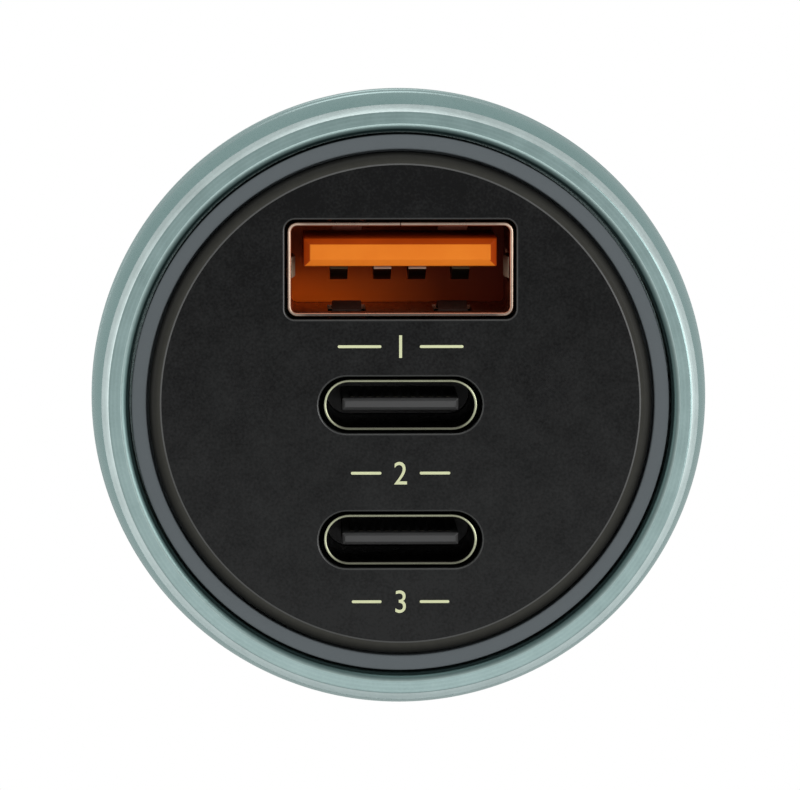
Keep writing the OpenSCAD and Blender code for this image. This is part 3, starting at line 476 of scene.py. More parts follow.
def lip_metal():
    """Painted shade: tone = lit_share cubed, a little streaked; lit_share runs from 0 in the mouth to 1 on
    the band.
    """
    finish = Finish("lip_metal", Specular_Tint=TEAL_EDGE)
    streaks = finish.noise(0.3, detail=3.0)
    lit_share = finish.ramp(finish.off_axis(), MOUTH_R, MOUTH_R + RIM_LIP)
    tone = (lit_share ** 3.0 * (streaks * 0.3 + 0.85)).clamped()
    finish.set(Base_Color=finish.mix(tone, (0.035, 0.062, 0.060), (0.30, 0.39, 0.38)),
               Metallic=(lit_share * 4.0 + 0.25).clamped(), Roughness=streaks * 0.16 + 0.24)
    return finish.done()


LIP_METAL = lip_metal()
print("rim radius", round(RIM_R, 2), "mouth radius", round(MOUTH_R, 2))

# %% [markdown]
# ## The turned body
#
# Head and barrel are one piece, turned from bar: a bowl-shaped head with two fine ring grooves,
# a shoulder, and a barrel with a slimmer land. The bore, a ledge for the board carrier and the
# seat of the light ring are cut from the front. A bowl and a tube could be joined, but the joint
# would show. So all of it is one closed profile, which runs from the open end of the barrel
# forward outside, over the rim and back through the bore. The back of the head is a flattened
# ellipse, and each ring groove is a small V.

# %% Outside of the head
SHOULDER_R, COLLAR, BACK_POWER = 12.6, 1.2, 1.8
GROOVES, GROOVE_W, GROOVE_D = (3.9, 5.1), 0.36, 0.16
WALL_STEP, WALL_END = 0.12, 0.1
WIDEST = RIM + FLARE_LEN


def back_of_head(count=40):
    """r = shoulder + (head - shoulder) (1 - u^p)^(1/p), with u running from 1 to 0."""
    y = -COLLAR + (WIDEST + COLLAR) * (1 - np.cos(np.linspace(0, np.pi / 2, count)))
    u = (y - WIDEST) / (-COLLAR - WIDEST)
    r = SHOULDER_R + (HEAD_R - SHOULDER_R) * (1 - np.clip(u, 0, 1) ** BACK_POWER) ** (1 / BACK_POWER)
    return np.stack([r, y], -1)


def front_of_head():
    """From the widest ring to the chamfer: a quarter sine, less a V for each groove."""
    back = np.arange(FLARE_LEN - WALL_END, RIM_CHAMFER_H + WALL_END, -WALL_STEP)
    turn = np.pi / 2 * (back - RIM_CHAMFER_H) / (FLARE_LEN - RIM_CHAMFER_H)
    r = HEAD_R - FLARE + FLARE * np.sin(turn)
    for centre in GROOVES:
        r = r - GROOVE_D * np.clip(1 - np.abs(back - centre) / (GROOVE_W / 2), 0, 1)
    return np.stack([r, RIM + back], -1)


head = np.concatenate([back_of_head(), front_of_head()])
print("outside of the head:", len(head), "points, widest radius", round(head[:, 0].max(), 2))

# %% The whole profile
BARREL_R, SLIM_R, BORE_R, BORE_FROM = 10.4, 10.2, 9.4, -3.0
LAND, LAND_STEP, JOIN = 12.0, 0.2, 0.02
SEAT_DEPTH, CARRIER_PLAY, LEDGE_W, LEDGE_SET = 3.0, 0.05, 1.25, 4.0
CARRIER_R, CARRIER_BACK = ends("board_carrier", 0)[1], ends("board_carrier", 1)[1]
HEAD_BORE_R, LEDGE_IN_R = CARRIER_R + CARRIER_PLAY, CARRIER_R - LEDGE_W
RING_SEAT, LEDGE = RIM + SEAT_DEPTH, CARRIER_BACK - LEDGE_SET

barrel = eased([[BORE_R, BODY_BACK], [SLIM_R, BODY_BACK], [SLIM_R, LAND + LAND_STEP], [BARREL_R, LAND],
                [BARREL_R, 0], [SHOULDER_R, 0], [SHOULDER_R, -COLLAR - JOIN]],
               [0, 0.2, 0.1, 0.1, 0.12, 0.15, 0], closed=False)
rim = eased([[HEAD_R - FLARE, RIM + RIM_CHAMFER_H], [RIM_R, RIM], [RIM_IN_R, RIM]], [0, 0.1, 0], closed=False)
lip_t = np.radians(np.linspace(90, 180, 9))
lip = np.stack([RIM_IN_R + RIM_LIP * np.cos(lip_t), RIM + RIM_LIP - RIM_LIP * np.sin(lip_t)], -1)
inside = np.array([[MOUTH_R, RING_SEAT], [HEAD_BORE_R, RING_SEAT], [HEAD_BORE_R, LEDGE],
                   [LEDGE_IN_R, LEDGE], [BORE_R, BORE_FROM]])
profile = np.concatenate([barrel, head, rim, lip, inside])
print("profile of the body:", len(profile), "points")

# %% [markdown]
# ## From a piece to a part of the plug
#
# A finished piece rides on a body of the frame, may stand for CAD nodes, and wears a finish.
# Some pieces wear two or more, such as the body with its paler chamfer. Those could be cut into
# separate objects, but then their edges might show a crack. So `paint` gives a finish of its own
# to the faces whose centres fit a rule. Slots and windows are boxes taken out with a Boolean.

# %% Dressing, painting and cutting
def dress(made, body, replaced, finish):
    """The piece rides on a body, stands for its CAD nodes and wears a finish."""
    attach(made, body)
    if replaced:
        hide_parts(*replaced)
    made.data.materials.clear()
    made.data.materials.append(finish)
    return made


def paint(made, finish, rule):
    """Faces whose centre fits rule(radius, y, x, z), in mm, wear a finish of their own."""
    mesh = made.data
    mesh.materials.append(finish)
    centre, index = np.empty(len(mesh.polygons) * 3), np.empty(len(mesh.polygons), np.int32)
    mesh.polygons.foreach_get("center", centre)
    mesh.polygons.foreach_get("material_index", index)
    x, y, z = centre.reshape(-1, 3).T / MM
    index[rule(np.hypot(x, z), y, x, z)] = len(mesh.materials) - 1
    mesh.polygons.foreach_set("material_index", index)
    print(f"{made.name}: {int((index == len(mesh.materials) - 1).sum())} faces in {finish.name}")


def cut_boxes(made, boxes):
    """Boxes (centre, size) in mm are taken out of a piece with an exact Boolean."""
    square_on = np.array([[-1, -1], [1, -1], [1, 1], [-1, 1]])
    parts = []
    for centre, (width, length, height) in boxes:
        flat = square_on * [width / 2, height / 2]
        rows = [np.insert(flat, 1, end * length / 2, axis=1) for end in (-1, 1)]
        parts.append(grid(np.array(rows) + np.array(centre), caps=True))
    tool = piece("cutter", parts)
    change = made.modifiers.new("cut", "BOOLEAN")
    change.operation, change.solver, change.object = "DIFFERENCE", "EXACT", tool
    bpy.context.view_layer.update()
    ready = bpy.data.meshes.new_from_object(made.evaluated_get(bpy.context.evaluated_depsgraph_get()))
    made.modifiers.clear()
    made.data = ready
    bpy.data.objects.remove(tool)
    settle(ready)


# %% Body with its two slots
# The worn edge whose depth HAIR gives is a painted highlight on a front edge.
HAIR = 0.01  # margin for the rules that pick faces, and depth of a worn edge
SLOT_FROM, SLOT_TO, SLOT_WIDE, SLOT_CUT = 17.0, 34.0, 4.8, 4.0
body = piece("turned_body", [turned(profile)])
slot_size = (SLOT_CUT, SLOT_TO - SLOT_FROM, SLOT_WIDE)
cut_boxes(body, [((side * BARREL_R, (SLOT_FROM + SLOT_TO) / 2, 0), slot_size) for side in (-1, 1)])
dress(body, "charger", ["housing"], TEAL_METAL)
# painted highlight: the chamfer is paler than the skin
paint(body, CHAMFER_HIGHLIGHT_METAL, lambda r, y, x, z: (r > RIM_IN_R) & (y < RIM + RIM_CHAMFER_H - HAIR))
paint(body, BAND_METAL, lambda r, y, x, z: (r < RIM_R - 3 * HAIR) & (y < RIM + 2 * HAIR))
# painted shade: the lip darkens from the crest into the mouth
paint(body, LIP_METAL, lambda r, y, x, z: (r < RIM_IN_R - HAIR / 10) & (y < RING_SEAT))

# %% [markdown]
# ## Light ring
#
# The slate-grey ring between metal and face is a frosted light guide, moulded in one piece with
# a tube that leads back to the lamps on the port board. Plastic carries the grain of its mould:
# a fine bump that breaks up the highlight, and a faint mottled tone. It could be one colour with
# a high roughness, but it would then look like paint. The ring's outer wall lies in the shade of
# the lip and is darker. One function makes all plain plastics from a colour and a roughness. The
# ring and its tube are one turned profile, as the body is.

# %% Grained plastic
GRAIN = 0.12


def grained_plastic(name, colour, roughness, depth_mm=0.008, mottle=0.25, level=0.5):
    """Fine grain over clouds fourteen times as large, between two tones round a colour."""
    finish = Finish(name, Specular_IOR_Level=level)
    grain = finish.noise(GRAIN, detail=3.0, roughness=0.6)
    clouds = finish.noise(GRAIN * 14, detail=3.0)
    dark, light = (tuple(c * share for c in colour) for share in (1 - mottle, 1 + mottle))
    finish.set(Base_Color=finish.mix((grain * 0.6 + clouds * 0.6 - 0.1).clamped(), dark, light),
               Roughness=grain * 0.2 + (roughness - 0.1))
    finish.bump(grain, 0.4, depth_mm)
    return finish.done()


RING_GREY = grained_plastic("frosted_ring", (0.105, 0.122, 0.130), 0.7, 0.003, 0.05)
RING_EDGE = grained_plastic("ring_edge", (0.035, 0.045, 0.045), 0.8, 0.003, 0.05, 0.0)

# %% Ring and guide
RING_W, RING_RECESS, PLATE_T, SKIRT_INSET = 0.87, 0.45, 1.9, 1.0
GUIDE_PLAY, GUIDE_T, GUIDE_STOP = 0.1, 0.6, 0.6
RING_OUT_R = ends("light_ring", 0)[1]
RING_IN_R, RING_FRONT = RING_OUT_R - RING_W, RIM + RING_RECESS
PLATE_BACK, SKIRT_R = FACE + PLATE_T, PLATE_R - SKIRT_INSET
GUIDE_IN_R, GUIDE_BACK = SKIRT_R + GUIDE_PLAY, PORT_FOOT - GUIDE_STOP
GUIDE_R = GUIDE_IN_R + GUIDE_T
ring = eased([[GUIDE_IN_R, GUIDE_BACK], [GUIDE_R, GUIDE_BACK], [GUIDE_R, RING_SEAT],
              [RING_OUT_R, RING_SEAT], [RING_OUT_R, RING_FRONT], [RING_IN_R, RING_FRONT],
              [RING_IN_R, PLATE_BACK], [GUIDE_IN_R, PLATE_BACK]], [0.05, 0.05, 0.05, 0.05, 0.1, 0.1, 0, 0])
light = piece("frosted_light_ring", [turned(ring)])
dress(light, "charger", ["light_ring"], RING_GREY)
paint(light, RING_EDGE, lambda r, y, x, z: (r > RING_OUT_R - 2 * HAIR)
      & (y > RING_FRONT + 4 * HAIR) & (y < RING_SEAT))

# %% [markdown]
# ## The openings in the face
#
# The ports show through three openings, each a little larger than its shell. A steel USB-A shell
# is 12.5 mm wide inside, and a USB-C shell is a slot with round ends. The openings could be cut
# from a disc with a Boolean. Their sizes are worked out first instead, so that the face can be
# built round them and each gets a small rounded lip.

# %% Sizes of ports and openings
USB_A_W, USB_A_H, USB_A_R, USB_A_SHEET = 12.5, 4.95, 0.35, 0.25
USB_C_W, USB_C_H, USB_C_SHEET, ROUND_END = 8.45, 2.56, 0.20, 9.0
USB_A_GAP, USB_C_GAP, USB_C_GAP_UP, OPENING_CORNER = 0.13, 0.27, 0.15, 0.6


def middle(node):
    """Height of a node's middle above the axis, in millimetres."""
    return sum(ends(node, 2)) / 2


USB_A_UP = middle("usb_a_shell")
USB_C_UPS = {"upper": middle("usb_c_upper_shell"), "lower": middle("usb_c_lower_shell")}
grow_a, grow_c, grow_c_up = USB_A_SHEET + USB_A_GAP, USB_C_SHEET + USB_C_GAP, USB_C_SHEET + USB_C_GAP_UP
OPENINGS = [(USB_A_W + 2 * grow_a, USB_A_H + 2 * grow_a, OPENING_CORNER, USB_A_UP)]
OPENINGS += [(USB_C_W + 2 * grow_c, USB_C_H + 2 * grow_c_up, ROUND_END, up) for up in USB_C_UPS.values()]
print("ports at", round(USB_A_UP, 2), {level: round(up, 2) for level, up in USB_C_UPS.items()})

# %% [markdown]
# ## Black of the face
#
# The face is matt black plastic with a fine spark grain. Under the lamps it isn't one black: its
# lower half is a little paler, with faint clouds. Its rounded edge is warm grey beside the flat
# and nearly black down in the gap. Each could be left to the lamps alone; here both are painted
# light and shade: a ramp over the height makes the first, and one over the radius the second.

# %% Face and bevel finishes
BEVEL_W, BEVEL_H = 0.67, 0.55


def face_black():
    """Grain and clouds round a tone that grows towards the lower edge of the disc: painted light."""
    finish = Finish("face_black", Specular_IOR_Level=0.07)
    # painted light: the lower half of the face is paler
    low = finish.ramp(finish.along("Z"), PLATE_R, -PLATE_R)
    grain, clouds = finish.noise(0.16, roughness=0.6), finish.noise(2.2, detail=4.0, roughness=0.65)
    tone = (low * 0.9 + (grain - 0.5) * 1.5 + (clouds - 0.5) * 1.1 + 0.03).clamped()
    finish.set(Base_Color=finish.mix(tone, (0.0040, 0.0041, 0.0042), (0.0225, 0.0228, 0.0226)),
               Roughness=grain * 0.2 + 0.4)
    finish.bump(grain, 0.4, 0.008)
    return finish.done()


def bevel_black():
    """Painted light and shade: warm grey at the flat's edge, nearly black at the disc's edge in the gap."""
    finish = Finish("face_bevel", Specular_IOR_Level=0.1)
    wear = finish.noise(0.5, detail=2.0)
    tone = (finish.ramp(finish.off_axis(), PLATE_R, PLATE_R - BEVEL_W) * (wear * 0.4 + 0.8)).clamped()
    finish.set(Base_Color=finish.mix(tone, (0.004, 0.004, 0.0035), (0.046, 0.045, 0.038)),
               Roughness=wear * 0.1 + 0.4)
    return finish.done()


FACE_BLACK, FACE_BEVEL = face_black(), bevel_black()
# Painted highlights: a grey line where the flat ends, and a fainter one round each opening's lip
FACE_EDGE_HIGHLIGHT = grained_plastic("face_edge_highlight", (0.055, 0.056, 0.053), 0.4, mottle=0.3)
OPENING_HIGHLIGHT = grained_plastic("opening_highlight", (0.013, 0.014, 0.013), 0.35, mottle=0.3)

# %% [markdown]
# ## Face plate
# The face is a moulded disc with a quarter-round edge, three openings, and a skirt behind it that
# stands on the port board. A thin painted highlight marks where its flat ends, and a fainter one
# runs round each opening's lip. The flat front and back are filled with triangles between the outer
# circle and the openings, which leaves no seam and no pole on the flat, and each opening is an
# outline carried inwards over a small rounded lip.

# %% Flat fill and lips
PORT_BEVEL = 0.1


def filled(loops, y):
    """Triangles between an outer loop and the loops inside it, all at one y."""
    faces = tessellate_polygon([[Vector((x, z, 0)) for x, z in loop] for loop in loops])
    flat = np.concatenate(loops)
    return np.stack([flat[:, 0], np.full(len(flat), y), flat[:, 1]], -1), faces


def circle(radius, count=TURNS):
    """(r cos a, r sin a) all the way round."""
    a = np.linspace(0, 2 * np.pi, count, endpoint=False)
    return np.stack([radius * np.cos(a), radius * np.sin(a)], -1)


def opening_loops(grow):
    """The outlines of the three openings, made larger by a width."""
    return [outline(w + 2 * grow, h + 2 * grow, r + grow) + [0, up] for w, h, r, up in OPENINGS]


def lip_rows(width, height, radius, up, steps=5):
    """An opening's quarter-round lip and its wall down to the back of the plate."""
    t = np.linspace(0, np.pi / 2, steps)
    grow, depth = PORT_BEVEL * (1 - np.sin(t)), PORT_BEVEL * (1 - np.cos(t))
    rows = [(width + 2 * g, height + 2 * g, radius + g, FACE + d) for g, d in zip(grow, depth)]
    return lofted(rows + [(width, height, radius, PLATE_BACK)], up, caps=False)


print("outlines of the openings:", [len(loop) for loop in opening_loops(0.0)], "points")

# %% Face plate
FLAT_R = PLATE_R - BEVEL_W
LINE_W, LINE_H, SKIRT_T, SKIRT_SINK, PORTS_INSET = 0.09, 0.05, 0.75, 0.02, 0.2
bevel_t = np.linspace(np.pi / 2, 0, 10)
bevel = np.stack([FLAT_R + BEVEL_W * np.cos(bevel_t), FACE + BEVEL_H * (1 - np.sin(bevel_t))], -1)
bevel[:2] = [[FLAT_R - LINE_W / 2, FACE], [FLAT_R + LINE_W / 2, FACE + LINE_H]]
edge = np.concatenate([bevel, [[PLATE_R, PLATE_BACK]]])
skirt = [[SKIRT_R - SKIRT_T, PLATE_BACK - SKIRT_SINK], [SKIRT_R, PLATE_BACK - SKIRT_SINK],
         [SKIRT_R, PORT_FOOT], [SKIRT_R - SKIRT_T, PORT_FOOT]]
face = piece("face_disc", [
    grid(spun(edge)),
    filled([circle(FLAT_R - LINE_W / 2)] + opening_loops(PORT_BEVEL), FACE),
    filled([circle(PLATE_R)] + opening_loops(0.0), PLATE_BACK),
    *[lip_rows(*opening) for opening in OPENINGS],
    turned(skirt)])
dress(face, "charger", ["face_plate"], FACE_BLACK)
# painted light and shade on the rounded edge: warm grey by the flat, nearly black in the gap
paint(face, FACE_BEVEL, lambda r, y, x, z: (r > FLAT_R + LINE_W / 2) & (y < PLATE_BACK - HAIR))
# painted highlight: the thin line where the flat ends
paint(face, FACE_EDGE_HIGHLIGHT, lambda r, y, x, z: (abs(r - FLAT_R) < LINE_W / 2)
      & (y > FACE) & (y < FACE + LINE_H))
# painted highlight: the rounded lip of each opening
paint(face, OPENING_HIGHLIGHT, lambda r, y, x, z: (r < FLAT_R - PORTS_INSET)
      & (y > FACE + HAIR / 10) & (y < FACE + PORT_BEVEL))

# %% [markdown]
# ## Printed marks
#
# Under each port the face carries a small pale print, a plain number between two short bars. A
# pattern in the face's material could draw it, but its edges would be soft. A text object gives
# the figure its shape instead, which is made a mesh and laid on the face as thin as ink.

# %% A figure and a bar
PRINT_T, MARK_H, FIGURE_WIDTH, BAR_H = 0.02, 1.3, 0.9, 0.16
LEGEND = grained_plastic("legend_print", (0.74, 0.76, 0.46), 0.55, 0.002, 0.08)


def figure(text, up):
    """The filled shape of a figure, from the built-in font, placed on the face in mm."""
    curve = bpy.data.curves.new("figure", "FONT")
    curve.body, curve.align_x, curve.align_y, curve.extrude = text, "CENTER", "CENTER", 0.0
    holder = bpy.data.objects.new("figure", curve)
    bpy.context.scene.collection.objects.link(holder)
    bpy.context.view_layer.update()
    flat = bpy.data.meshes.new_from_object(holder.evaluated_get(bpy.context.evaluated_depsgraph_get()))
    points = np.empty(len(flat.vertices) * 3)
    flat.vertices.foreach_get("co", points)
    points = points.reshape(-1, 3)
    points = (points - (points.max(0) + points.min(0)) / 2) * (MARK_H / np.ptp(points[:, 1]))
    faces = [list(polygon.vertices) for polygon in flat.polygons]
    bpy.data.objects.remove(holder)
    front = np.full(len(points), FACE - PRINT_T)
    return np.stack([points[:, 0] * FIGURE_WIDTH, front, points[:, 1] + up], -1), faces


def bar(x, up, width):
    """A short bar with round ends, as thick as the print."""
    return moved(lofted([(width, BAR_H, BAR_H / 2, y) for y in (FACE - PRINT_T, FACE)], up), x)


print("figures", MARK_H, "mm high, print", PRINT_T, "mm thick")

# %% The three marks: height on the face and width over both bars
MARKS = {"1": (3.3, 7.2), "2": (-3.98, 5.7), "3": (-11.4, 5.6)}
FIGURE_ROOM = 1.1
for text, (up, width) in MARKS.items():
    bar_w = width / 2 - FIGURE_ROOM
    bars = [bar(side * (width - bar_w) / 2, up, bar_w) for side in (-1, 1)]
    dress(piece("mark_" + text, [figure(text, up), *bars]), "charger", [], LEGEND)

# %% [markdown]
# ## Steel of the port shells
#
# A port's shell is plated steel. Seen from the front it is a thin bright line round a dark hole:
# the front edge of the sheet catches the light most at the port's sides and top, while the walls
# inside mirror what stands in them. One steel for all of it would make the walls as bright as
# the edge. So both are painted: the edge's highlight is worked out from the place on the port,
# the walls' colour is a painted reflection, dark and in the USB-A shell reddish from its orange
# plastic, and a ramp over the depth goes from the highlight to the walls' colour within a few
# hundredths of a millimetre.

# %% Plated steel
SIDE_REACH = 0.9


def plated_steel(name, wall, dim, bright, middle_up, width, height):
    """Painted dark walls and a painted highlight on the front edge, bright at the port's sides, dim below.

    The edge's tone is 0.1, plus 0.35 of the height over the port, plus 0.55 of the way into its
    sides, which reach 0.9 mm inwards.
    """
    finish = Finish(name, Metallic=1.0)
    wear = finish.noise(0.5, detail=2.0)
    # painted light: the edge is brighter at the top and sides of the port, dim below
    over = finish.ramp(finish.along("Z"), middle_up - height / 2, middle_up + height / 2)
    aside = finish.ramp(abs(finish.along("X")), width / 2 - SIDE_REACH, width / 2)
    tone = ((over * 0.35 + aside * 0.55 + 0.1) * (wear * 0.6 + 0.7)).clamped()
    edge_glint = finish.painted_edge_glint(PORT_FRONT, HAIR)
    finish.set(Base_Color=finish.mix(edge_glint, wall, finish.mix(tone, dim, bright)), Roughness=wear * 0.2 + 0.2)
    return finish.done()


PALE_STEEL = plated_steel("pale_steel", (0.30, 0.12, 0.07), (0.05, 0.045, 0.042), (0.41, 0.31, 0.24),
                          USB_A_UP, USB_A_W, USB_A_H)
WARM_TONES = ((0.03, 0.028, 0.023), (0.08, 0.08, 0.062), (0.39, 0.41, 0.28))
WARM_STEEL = {level: plated_steel("warm_steel_" + level, *WARM_TONES, up, USB_C_W, USB_C_H)
              for level, up in USB_C_UPS.items()}

# %% [markdown]
# ## USB-C ports
#
# A USB-C shell is a tube drawn from sheet, with round ends and a rounded lip in front. Its tongue
# is a black blade with a bevelled front edge, on a base that closes the tube. Both could start
# as boxes with a Bevel modifier. Here they are outlines carried along the axis, and the lip gets
# eight steps of rounding, because the thin bright line that the eye sees is that lip.

# %% Shells, blades and bases
LIP_T = np.linspace(0, np.pi, 9)
BLADE_FOOT, BASE_FRONT, BLADE_CORNER = PORT_FOOT - 1.0, PORT_FOOT - 2.4, 0.05


def shell_rows(width, height, radius, sheet, up, foot):
    """Outside wall, half-round lip and inside wall of a drawn shell, as one closed tube."""
    half = sheet / 2
    out, depth = half + half * np.cos(LIP_T), PORT_FRONT + half - half * np.sin(LIP_T)
    lip_over = [(width + 2 * o, height + 2 * o, radius + o, d) for o, d in zip(out, depth)]
    outside = (width + 2 * sheet, height + 2 * sheet, radius + sheet, foot)
    points, _ = lofted([outside, *lip_over, (width, height, radius, foot)], up, caps=False)
    return grid(points, wrap_rows=True)


def blade_rows(width, height, front, bevel, up):
    """A tongue: full size behind, narrowed by its bevel at the front, with both corners eased."""
    soft = bevel / 4
    steps = [(0, BLADE_FOOT), (0, front + bevel + soft), (soft, front + bevel - soft),
             (2 * bevel, front + soft * 0.3), (2 * bevel + soft, front)]
    return lofted([(width - less, height - less, BLADE_CORNER, y) for less, y in steps], up)


def base_rows(width, height, radius, up):
    """The block at the foot of a port that carries its tongue."""
    return lofted([(width, height, radius, y) for y in (PORT_FOOT, BASE_FRONT)], up)


print("a port's lip:", len(LIP_T), "rows, base", round(PORT_FOOT - BASE_FRONT, 2), "mm thick")

# %% USB-C shells and tongues
USB_C_TONGUE_W, USB_C_TONGUE_H, USB_C_BEVEL, USB_C_TAIL, BASE_PLAY = 6.69, 0.70, 0.16, 1.9, 0.1
TONGUE_BLACK = grained_plastic("tongue_black", (0.03, 0.03, 0.03), 0.45)
for level, up in USB_C_UPS.items():
    name = f"usb_c_{level}_"
    foot, front = ends(name + "shell", 1)[1] - USB_C_TAIL, ends(name + "tongue", 1)[0]
    shell = piece(name + "drawn_shell", [shell_rows(USB_C_W, USB_C_H, ROUND_END, USB_C_SHEET, up, foot)])
    dress(shell, "charger", [name + "shell"], WARM_STEEL[level])
    blade = blade_rows(USB_C_TONGUE_W, USB_C_TONGUE_H, front, USB_C_BEVEL, up)
    base = base_rows(USB_C_W - BASE_PLAY, USB_C_H - BASE_PLAY, ROUND_END, up)
    dress(piece(name + "blade", [blade, base]), "charger", [name + "tongue"], TONGUE_BLACK)

# %% [markdown]
# ## USB-A shell
#
# The larger shell is folded from sheet: its seam runs along the top, and each wall has windows
# in which spring fingers grip the plug. The shell is the same drawn tube as before. Its windows
# and seam go right through the sheet, so they are cut out as boxes, as the press tool does.

# %% Folded shell with windows
WINDOW_L, WINDOW_W, SIDE_WINDOW_W, WINDOW_BACK, WINDOW_X = 5.2, 2.2, 1.7, 1.3, 3.05
SEAM, THROUGH = 0.05, 1.0
window_from = PORT_FRONT + WINDOW_BACK
window_mid = window_from + WINDOW_L / 2
wall_x, wall_z = (USB_A_W + USB_A_SHEET) / 2, (USB_A_H + USB_A_SHEET) / 2
CORNERS = [(x, z) for x in (-1, 1) for z in (-1, 1)]
size, side_size = (WINDOW_W, WINDOW_L, THROUGH), (THROUGH, WINDOW_L, SIDE_WINDOW_W)
windows = [((x * WINDOW_X, window_mid, USB_A_UP + z * wall_z), size) for x, z in CORNERS]
windows += [((x * wall_x, window_mid, USB_A_UP), side_size) for x in (-1, 1)]
windows += [((0, (PORT_FRONT + PORT_FOOT) / 2, USB_A_UP + wall_z),
             (SEAM, 2 * (PORT_FOOT - PORT_FRONT), THROUGH))]
shell = piece("usb_a_folded_shell", [shell_rows(USB_A_W, USB_A_H, USB_A_R, USB_A_SHEET, USB_A_UP, PORT_FOOT)])
cut_boxes(shell, windows)
dress(shell, "charger", ["usb_a_shell"], PALE_STEEL)

# %% [markdown]
# ## Spring fingers
#
# Each finger is a tongue of the same sheet that bows into the port. It could be bent from a flat
# strip with a modifier. It is a strip computed along its bow instead: a small rounded section is
# carried along a flat path and turned to its wall. Four solder tabs go with the fingers. Tin
# plate scatters light, so the fingers show in the dark port, and that light is painted: the side
# ones are pale, those on the upper wall pink, a painted glow from the orange plastic around them,
# and those on the lower wall nearly black, painted shade.

# %% Finish of the fingers
def finger_steel(name, dark, light):
    """Half-metal tin plate, mottled between two tones."""
    finish = Finish(name, Metallic=0.4)
    wear = finish.noise(0.4, detail=2.0)
    finish.set(Base_Color=finish.mix(wear, dark, light), Roughness=wear * 0.2 + 0.35)
    return finish.done()


# Painted light: lit, orange-lit and shaded copies of one tin plate
LIT_FINGER_STEEL = finger_steel("lit_finger_steel", (0.38, 0.28, 0.18), (0.62, 0.50, 0.36))
SHADED_FINGER_STEEL = finger_steel("shaded_finger_steel", (0.025, 0.010, 0.006), (0.06, 0.028, 0.02))
ORANGE_BOUNCE_STEEL = finger_steel("orange_bounce_finger_steel", (0.22, 0.09, 0.06), (0.36, 0.17, 0.12))


# %% A strip along its path
def banked(path, width, thickness, corner):
    """A strip: a rounded cross-section carried along a flat path of (x, y) points."""
    path = np.asarray(path, float)
    run = np.gradient(path, axis=0)
    run /= np.linalg.norm(run, axis=1)[:, None]
    side = np.stack([-run[:, 1], run[:, 0]], -1)
    section = outline(width, thickness, corner, 3)
    rows = path[:, None, :] + side[:, None, :] * section[None, :, 1:]
    across = np.broadcast_to(section[None, :, 0], rows.shape[:2])
    return grid(np.concatenate([rows, across[..., None]], -1), caps=True)


FINGER_GAP, FINGER_THIN, FINGER_PAST, FINGER_CORNER = 0.25, 0.05, 0.3, 0.05
BOW_GROW, BOW_TURN = 1.1, 150


def finger(width, bow, turn, x, up):
    """A spring finger: depth 1.1 bow sin(150 u)^2 over its length, turned to its wall."""
    u = np.linspace(0, 1, 24)
    depth = -bow * BOW_GROW * np.sin(np.radians(BOW_TURN * u)) ** 2
    path = np.stack([depth, window_from + WINDOW_L + FINGER_PAST - WINDOW_L * u], -1)
    points, faces = banked(path, width - 2 * FINGER_GAP, USB_A_SHEET - FINGER_THIN, FINGER_CORNER)
    x0, y0, z0 = points.reshape(-1, 3).T
    c, s = math.cos(math.radians(turn)), math.sin(math.radians(turn))
    return moved((np.stack([x0 * c - z0 * s, y0, x0 * s + z0 * c], -1), faces), x, USB_A_UP + up)


print("a finger is", WINDOW_W - 2 * FINGER_GAP, "mm wide")

# %% Fingers and tabs
BOW, SIDE_BOW = 0.42, 0.24
TAB_W, TAB_CORNER, TAB_UP, TAB_SINK = 1.4, 0.08, 1.5, 0.2
tab_ends = (PORT_FOOT - TAB_SINK, ends("usb_a_shell", 1)[1])
fingers = [finger(WINDOW_W, BOW, 90 * z, x * WINDOW_X, z * wall_z) for x, z in CORNERS]
tab = lofted([(USB_A_SHEET, TAB_W, TAB_CORNER, y) for y in tab_ends], USB_A_UP)
tabs = [moved(tab, x * wall_x, z * TAB_UP) for z in (-1, 1) for x in (-1, 1)]
flat_fingers = dress(piece("usb_a_fingers", fingers + tabs), "charger", [], SHADED_FINGER_STEEL)
paint(flat_fingers, ORANGE_BOUNCE_STEEL, lambda r, y, x, z: z > USB_A_UP)
side_fingers = [finger(SIDE_WINDOW_W, SIDE_BOW, 90 - 90 * x, x * wall_x, 0) for x in (-1, 1)]
dress(piece("usb_a_side_fingers", side_fingers), "charger", [], LIT_FINGER_STEEL)

# %% [markdown]
# ## Orange plastic
#
# The USB-A tongue is a glossy orange moulding, and so is the base behind it. Its front edge faces
# the lamps and is bright, while its faces look into the port and lie in shade, painted as a deeper
# orange. The base lies deep and catches light only at its lower left, which is painted as well. One
# bright orange would make the whole port glow. So there are three finishes, and the base's is the
# product of two ramps.

# %% Three oranges
def orange_plastic(name, dark, light, level):
    """Mottled orange, a little shiny, with a very fine grain."""
    finish = Finish(name, Specular_IOR_Level=level)
    clouds = finish.noise(1.6, detail=2.0)
    finish.set(Base_Color=finish.mix(clouds.clamped(), dark, light), Roughness=clouds * 0.15 + 0.33)
    finish.bump(finish.noise(0.15), 0.2, 0.004)
    return finish.done()


def base_orange():
    """Painted light: brightness = a ramp towards the left times a ramp towards the bottom of the port."""
    finish = Finish("base_orange", Specular_IOR_Level=0.1, Roughness=0.4)
    aside = finish.ramp(finish.along("X"), 0.55 * USB_A_W, -0.45 * USB_A_W)
    below = finish.ramp(finish.along("Z"), USB_A_UP + 0.6 * USB_A_H, USB_A_UP - 0.4 * USB_A_H)
    finish.set(Base_Color=finish.mix(aside * below, (0.22, 0.02, 0.001), (1.0, 0.15, 0.003)))
    return finish.done()


ORANGE = orange_plastic("orange_plastic", (0.90, 0.20, 0.012), (1.0, 0.27, 0.02), 0.12)
SHADED_ORANGE = orange_plastic("shaded_orange", (0.42, 0.048, 0.002), (0.56, 0.07, 0.003), 0.1)
BASE_ORANGE = base_orange()

